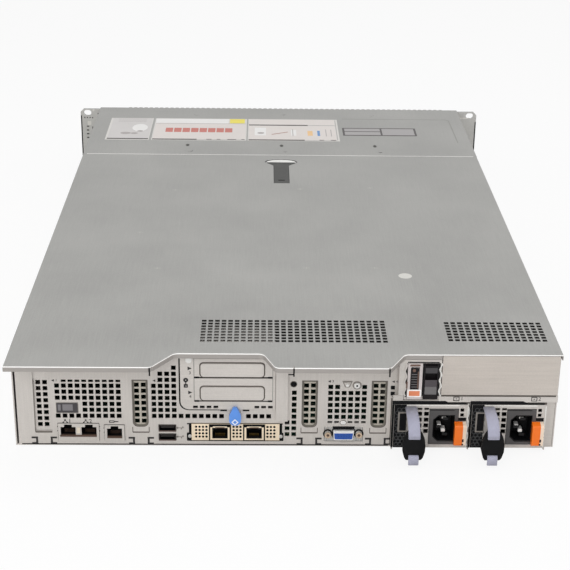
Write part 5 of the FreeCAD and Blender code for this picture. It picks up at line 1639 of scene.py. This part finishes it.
@dataclass
class PowerSupply(Assembly):
    """One pull-out power supply: mesh, tag, blades, release, handle and threaded strap."""

    level: float = -7.5
    slot: str = "black_plastic"
    index: int = 0
    first_x: float = 86.0
    pitch: float = 62.1
    low: float = 3.3
    height: float = 39.0
    mesh_pitch: float = 3.3
    release_reach: float = 6.4
    blade_depth: float = 9.0
    strap_u: float = 14.0
    strap: tuple[float, float, float] = (9.4, 8.2, 1.4)
    strap_z: tuple[float, float, float, float] = (39.9, 26.3, 10.8, 3.4)
    strap_face: float = -7.8
    nose: float = -32.8
    strap_out: float = 2.5
    lean: float = 0.8

    def __post_init__(self) -> None:
        """Names the body that the supply's pieces ride on."""
        self.body = f"supply_{self.index + 1}"

    @property
    def left(self) -> float:
        """Left side of the case."""
        return self.first_x + self.pitch * self.index

    def build(self) -> None:
        """Makes every piece of the supply."""
        number = self.index + 1
        for finish, node in (("supply_zinc", "case"), ("inlet_grey", "inlet"), ("handle_black", "handle"),
                             ("release_orange", "release")):
            self.dress(finish, f"psu_{number}_{node}")
        self._mesh()
        self._face_marks()
        self._inlet()
        self._release()
        self._webbing()

    def _mesh(self) -> None:
        """Black hexagon mesh at the left of the face, over a dark ground."""
        x, low, name = self.left, self.low, self.body
        ground = stamp(rounded(9.5, self.height - 0.2), [(x + 4.9, low + self.height / 2)], THIN)
        self.add(f"{name}_mesh_ground", [ground], "shadow")
        self.add(f"{name}_side_gap", [plate((x - 1.8, x - 0.2), (low, 42.3), THIN / 2)], "shadow",
                 slot="zinc_sheet", body="chassis")
        step = self.mesh_pitch
        rows = int((self.height - 4.0) / (step * 0.866))
        cells = [(x + 2.4 + step * i + (row % 2) * step / 2, low + 3.0 + row * step * 0.866)
                 for row in range(rows) for i in range(3 - row % 2)]
        ring = band(disc(step / 2 * 1.12, 6, np.pi / 6), disc(step / 2 * 0.82, 6, np.pi / 6), cells, 0.3)
        self.add(f"{name}_mesh", [ring], "mesh_grey", self.level - 0.1)

    def _face_marks(self) -> None:
        """Blank tag, painted highlights along the top and right edges, and the dark block over the release.
        """
        x, name = self.left, self.body
        rim = stamp(rounded(7.2, 18.0, 0.5), [(x + 6.8, 26.6)], 0.5, 0.1)
        self.add(f"{name}_tag_rim", [rim], "mark_grey", slot="white_plastic")
        self.add(f"{name}_tag", [stamp(rounded(5.4, 15.6, 0.6), [(x + 7.2, 26.7)], 0.6, 0.1)], "shadow")
        # Painted highlights along the face's top edge and its right edge.
        self.add(f"{name}_edge_highlights", [stamp(rounded(42.0, 0.8, 0.2), [(x + 31.0, 41.4)], 0.3, 0.1),
                                  stamp(rounded(0.9, self.height - 2.0, 0.2), [(x + 58.9, 22.5)], 0.3, 0.1)],
                 "highlight_and_spring", slot="supply_sheet")
        self.add(f"{name}_block", [stamp(rounded(6.4, 2.8, 0.3), [(x + 54.6, 29.2)], 0.4, 0.1)], "shadow")

    def _inlet(self) -> None:
        """Bright blades in the well, the well's edge and a short rule on the plate."""
        x, name, deep = self.left, self.body, self.level + self.blade_depth
        blades = stamp(rounded(3.4, 2.8, 0.5), [(x + 36.9, 21.4), (x + 40.2, 17.4)], 6.0, 0.3)
        self.add(f"{name}_blades", [blades], "screw_white", deep, "connector_metal")
        third = stamp(rounded(3.8, 2.0, 0.3), [(x + 40.4, 29.0)], 6.0, 0.3)
        self.add(f"{name}_third_blade", [third], "steel", deep, "connector_metal")
        cx, cz = x + 28.4 + 16.4 / 2 + 3.4, 22.5 - 1.2
        well = np.array([(-4.2, -11.3), (8.2, -11.3), (8.2, 11.3), (-4.2, 11.3), (-8.2, 7.3), (-8.2, -7.3)])
        for mark, surface in (("well_rim", band(well * 1.05, well, [(cx, cz)], 0.2)),
                              ("plate_rule", stamp(rounded(20.0, 0.5), [(x + 38.0, 37.6)], INK))):
            self.add(f"{name}_{mark}", [surface], "handle_black", self.level - 0.6)

    def _release(self) -> None:
        """Two dark marks on the release, whose cream side is a zone of its finish."""
        x = self.left
        self.add(f"{self.body}_release_marks", [stamp(rounded(1.3, 2.6, 0.3), [(x + 55.2, 13.2)], 0.25),
                                                stamp(rounded(1.3, 1.4, 0.3), [(x + 55.0, 9.8)], 0.25)],
                 "print_black", self.level - self.release_reach, "orange_plastic",
                 f"supply_release_{self.index + 1}")

    def _webbing(self) -> None:
        """Strap over the handle, in at one slit and out at the next, with a free end."""
        wide, tail, thick = self.strap
        top, slit, second, end = self.strap_z
        front, back = self.nose - self.strap_out, self.nose + self.strap_out
        points = [(self.strap_face, top), (front, top), (front, slit), (back, slit), (back, second),
                  (front, second), (front, end)]
        path = rounded_path(points, [0, 12.5, 1.6, 1.6, 1.6, 1.6, 0], 8)
        widths = np.where(path[:, 1] > slit - 1.4, wide, tail)
        surface = strip(path, widths, thick, self.left + self.strap_u)
        rise = np.clip((surface.corners[:, 2] - slit) / (top - slit), 0.0, 1.0)
        surface.corners[:, 0] -= self.lean * rise
        corners = in_metres(surface.corners)
        piece = put(f"{self.body}_webbing", corners, surface.faces, self.palette["webbing"], self.body,
                    True)
        weave = piece.data.attributes.new("weave", "FLOAT_VECTOR", "POINT")
        flat = np.concatenate([surface.along, np.zeros((len(surface.along), 1))], axis=1)
        weave.data.foreach_set("vector", flat.ravel())
        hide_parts(f"psu_{self.index + 1}_strap")


@dataclass
class SupplyCage(Assembly):
    """The cage round the supplies: strip marks, the stepped gap, the wavy spring and the blank panel."""

    level: float = -7.5
    pitch: float = 62.1
    spring_face: float = -6.5

    def build(self) -> None:
        """Makes the cage's pieces."""
        self.dress("cage_zinc", "psu_cage")
        self.dress("blank_zinc", "psu_blank")
        boxes = [(134.9, 47.5), (196.9, 47.5)]
        self.add("strip_marks", [
            figures("1", 4.6, (139.3, 47.5), THIN), figures("2", 4.6, (201.2, 47.5), THIN),
            band(rounded(4.8, 3.8), rounded(3.6, 2.6), boxes, THIN), stamp(rounded(1.2, 0.7), boxes, THIN)],
            "dark_print_and_shade")
        step = np.array([(84.2, 42.5), (143.4, 42.5), (143.4, 43.7), (130.0, 43.7), (126.3, 45.6),
                         (84.2, 45.6)])
        self.add("strip_gap", [stamp(step, [(0.0, 0.0), (self.pitch, 0.0)], THIN)], "shadow")
        spring = wavy(145.6, 0.55, np.linspace(5.0, 43.0, 60), 11.0, 0.0, 0.8)
        self.add("divider_spring", [stamp(spring, ORIGIN, 0.6)], "highlight_and_spring", self.spring_face)
        # Painted shade along the blank panel's lower edge.
        rim = ribbon(np.array([(122.4, 50.1), (214.0, 50.1)]), 1.1)
        self.add("blank_edge", [stamp(rim, ORIGIN, THIN)], "outline_shade")


@dataclass
class ModuleBay(Assembly):
    """The two small storage modules, with the dark gaps and springs beside them."""

    level: float = -8.3
    slot: str = "white_plastic"
    left_x: Span = (95.2, 106.8)
    right_x: Span = (108.0, 119.6)
    well: tuple[float, float, float, float] = (97.4, 104.2, 56.1, 75.0)
    spring_face: float = -7.7

    def build(self) -> None:
        """Makes the modules' pieces."""
        self.dress("cage_zinc", "module_bay")
        self.dress("module_white", "storage_module")
        self.dress("module_black", "module_blank")
        self._left()
        self._right()
        gaps = [plate(x, z, THIN / 2) for x, z in (
            ((93.6, 95.0), (49.0, 79.0)), ((106.95, 107.85), (50.0, 79.0)), ((119.8, 120.8), (50.0, 79.0)),
            ((95.0, 119.8), (79.3, 80.2)))]
        self.add("bay_gaps", gaps, "shadow", rear_face(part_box("module_bay")))
        height = np.linspace(50.0, 79.0, 40)
        for name, x, reach, start, wide, finish in (("bay_spring", 121.2, 0.9, 0.0, 0.8, "highlight_and_spring"),
                                                    ("bay_edge", 93.6, 0.7, 1.0, 1.3, "supply_zinc")):
            line = wavy(x, reach, height, 9.5, start, wide)
            self.add(name, [stamp(line, ORIGIN, 0.5)], finish, self.spring_face)

    def _left(self) -> None:
        """Pale module: dark well with louvres and a brown strip, catch, and bordered orange patch."""
        x0, x1, z0, z1 = self.well
        middle = (x0 + x1) / 2
        centre = [(sum(self.left_x) / 2, 52.7)]
        louvres = [(middle - 0.3, 58.4 + 2.2 * i) for i in range(6)]
        pieces = (
            ("well", "module_black", [stamp(rounded(x1 - x0, z1 - z0, 0.5), [(middle, (z0 + z1) / 2)], INK)]),
            ("louvres", "module_grey", [stamp(rounded(4.6, 0.6, 0.2), louvres, 0.3, 0.1)]),
            ("strip", "module_brown", [stamp(rounded(0.9, 15.0, 0.3), [(x1 - 0.7, 64.6)], 0.4, 0.1),
                                       stamp(rounded(2.4, 2.4, 0.8), [(middle - 0.6, 72.8)], 0.35, 0.1)]),
            ("catch", "module_brown", [stamp(rounded(8.0, 1.5, 0.5), [(middle, 77.3)], 0.4, 0.1),
                                       stamp(rounded(1.1, 6.0, 0.3), [(94.9, 60.0)], 0.2)]),
            ("patch_rim", "patch_white", [stamp(rounded(11.0, 6.6, 0.8), centre, 0.3, 0.1)]),
            ("patch", "module_orange", [stamp(rounded(8.6, 4.4, 0.4), centre, 0.4, 0.1)]))
        for name, finish, surfaces in pieces:
            self.add(f"module_{name}", surfaces, finish, body="storage")

    def _right(self) -> None:
        """Dark module: three bands from dark grey to mid grey over black."""
        right = sum(self.right_x) / 2
        bands = ((72.8, 4.6, "module_dark"), (61.6, 5.8, "module_plum"), (55.2, 6.8, "module_grey"))
        for i, (z, tall, finish) in enumerate(bands):
            surface = stamp(rounded(9.4, tall, 0.4), [(right, z)], 0.3, 0.1)
            self.add(f"blank_band_{i + 1}", [surface], finish, body="blank_module")


@dataclass
class Front(Assembly):
    """The drive side: carriers, levers, blanks, vent, ears and the power button."""

    facing: Facing = Facing.FRONT
    level: float = 687.0
    slot: str = "white_plastic"
    pitch: float = 106.4
    bays: int = 4
    low: float = 3.4
    ear_y: float = 665.0
    ear_edge: float = 240.2

    def build(self) -> None:
        """Makes the pieces of the drive side."""
        numbers = range(1, self.bays + 1)
        self.dress("front_paint", *(f"drive_carrier_{i}" for i in numbers), "drive_blanks")
        self.dress("lever_paint", *(f"drive_lever_{i}" for i in numbers))
        self.dress("disk_case", *(f"hard_disk_{i}" for i in numbers))
        self.dress("front_grille", "front_vent")
        self.dress("ear_zinc", "rack_ear_left", "rack_ear_right")
        self.dress("grey", "power_button")
        self.dress("cage_zinc", "drive_cage")
        self.dress("steel", "rail_studs")
        for column in range(self.bays):
            self._carrier(column + 1, self.pitch * (column - (self.bays - 1) / 2))
        ring = band(disc(2.0, 20), disc(1.5, 20), [(221.7, 64.0)], THIN)
        self.add("button_ring", [ring], "lens_clear", self.level - 0.2, body="button")
        self._ears()

    def _carrier(self, number: int, x: float) -> None:
        """Grip ribs on a lever and two lamps beside it.

        Args:
            number: number of the bay.
            x: middle of the bay.
        """
        middle = self.low + 13.5
        ribs = [(x + 18.0 + 2.2 * i, middle) for i in range(9)]
        self.add(f"lever_{number}_ribs", [stamp(rounded(1.0, 11.0, 0.4), ribs, 0.35, 0.12)], "lever_paint",
                 self.level - 0.4, "dark_front", f"lever_{number}")
        lamps = [(x + 46.6, middle + 4.0), (x + 46.6, middle - 1.0)]
        self.add(f"drive_{number}_lamps", [stamp(disc(1.0, 14), lamps, 0.2, 0.08)], "led_teal",
                 self.level - 0.2, body=f"drive_{number}")

    def _ears(self) -> None:
        """Painted shadow on outer edges, painted shade in small bores and slots, pale spots on the ears' rear
        faces.
        """
        edges = [stamp(rounded(1.3, 62.0, 0.4), [(-self.ear_edge, 47.0)], INK),
                 stamp(rounded(1.3, 36.0, 0.4), [(self.ear_edge, 56.0)], INK)]
        dots = [(-236.2, 75.4), (-233.0, 75.4), (-229.8, 75.4), (-226.8, 75.2), (-229.5, 45.7),
                (-226.9, 45.6), (-219.8, 80.4), (-219.6, 67.5), (222.4, 66.0), (229.6, 40.0)]
        bars = [(-232.8, 64.4), (-233.0, 59.6), (-233.0, 54.9), (-233.1, 50.2)]
        # Painted shade in the ears' small bores and slots.
        bores = [stamp(disc(0.8, 12), dots, INK), stamp(rounded(2.8, 1.5, 0.4), bars, INK),
                 stamp(rounded(1.1, 11.0, 0.4), [(-227.1, 58.6)], INK)]
        spots = [stamp(disc(1.3, 14), [(-225.4, 84.6), (-216.9, 79.2)], THIN),
                 stamp(rounded(4.4, 4.8, 0.6), [(-230.8, 68.4)], THIN),
                 stamp(rounded(12.0, 1.2, 0.4), [(226.0, 78.6)], THIN)]
        for name, surfaces, finish in (("edges", edges, "shadow"), ("bores", bores, "hollow_shade"),
                                       ("spots", spots, "mark_pale")):
            self.add(f"ear_{name}", surfaces, finish, self.ear_y, "dark_front", facing=Facing.REAR)


@dataclass
class Inside(Assembly):
    """Boards, sinks, memory and fans under the roof."""

    fans: int = 6

    def build(self) -> None:
        """Dresses the inner solids."""
        self.dress("board", "circuit_boards", "memory_modules")
        self.dress("fins", "heat_sinks")
        self.dress("black", "fan_frames")
        self.dress("grey", *(f"fan_rotor_{i}" for i in range(1, self.fans + 1)))
        self.dress("steel", "vga_connector")


def main() -> None:
    """Builds the classes in order."""
    logging.basicConfig(level=logging.INFO, format="%(message)s")
    palette = Palette()
    Studio().build()
    parts = [Inside(palette), Front(palette), Roof(palette), RearWall(palette), NetworkCard(palette),
             Riser(palette), PowerSupply(palette), PowerSupply(palette, index=1), SupplyCage(palette),
             ModuleBay(palette)]
    for part in parts:
        part.build()
        log.info("%s is built", type(part).__name__)


if __name__ == "__main__":
    main()
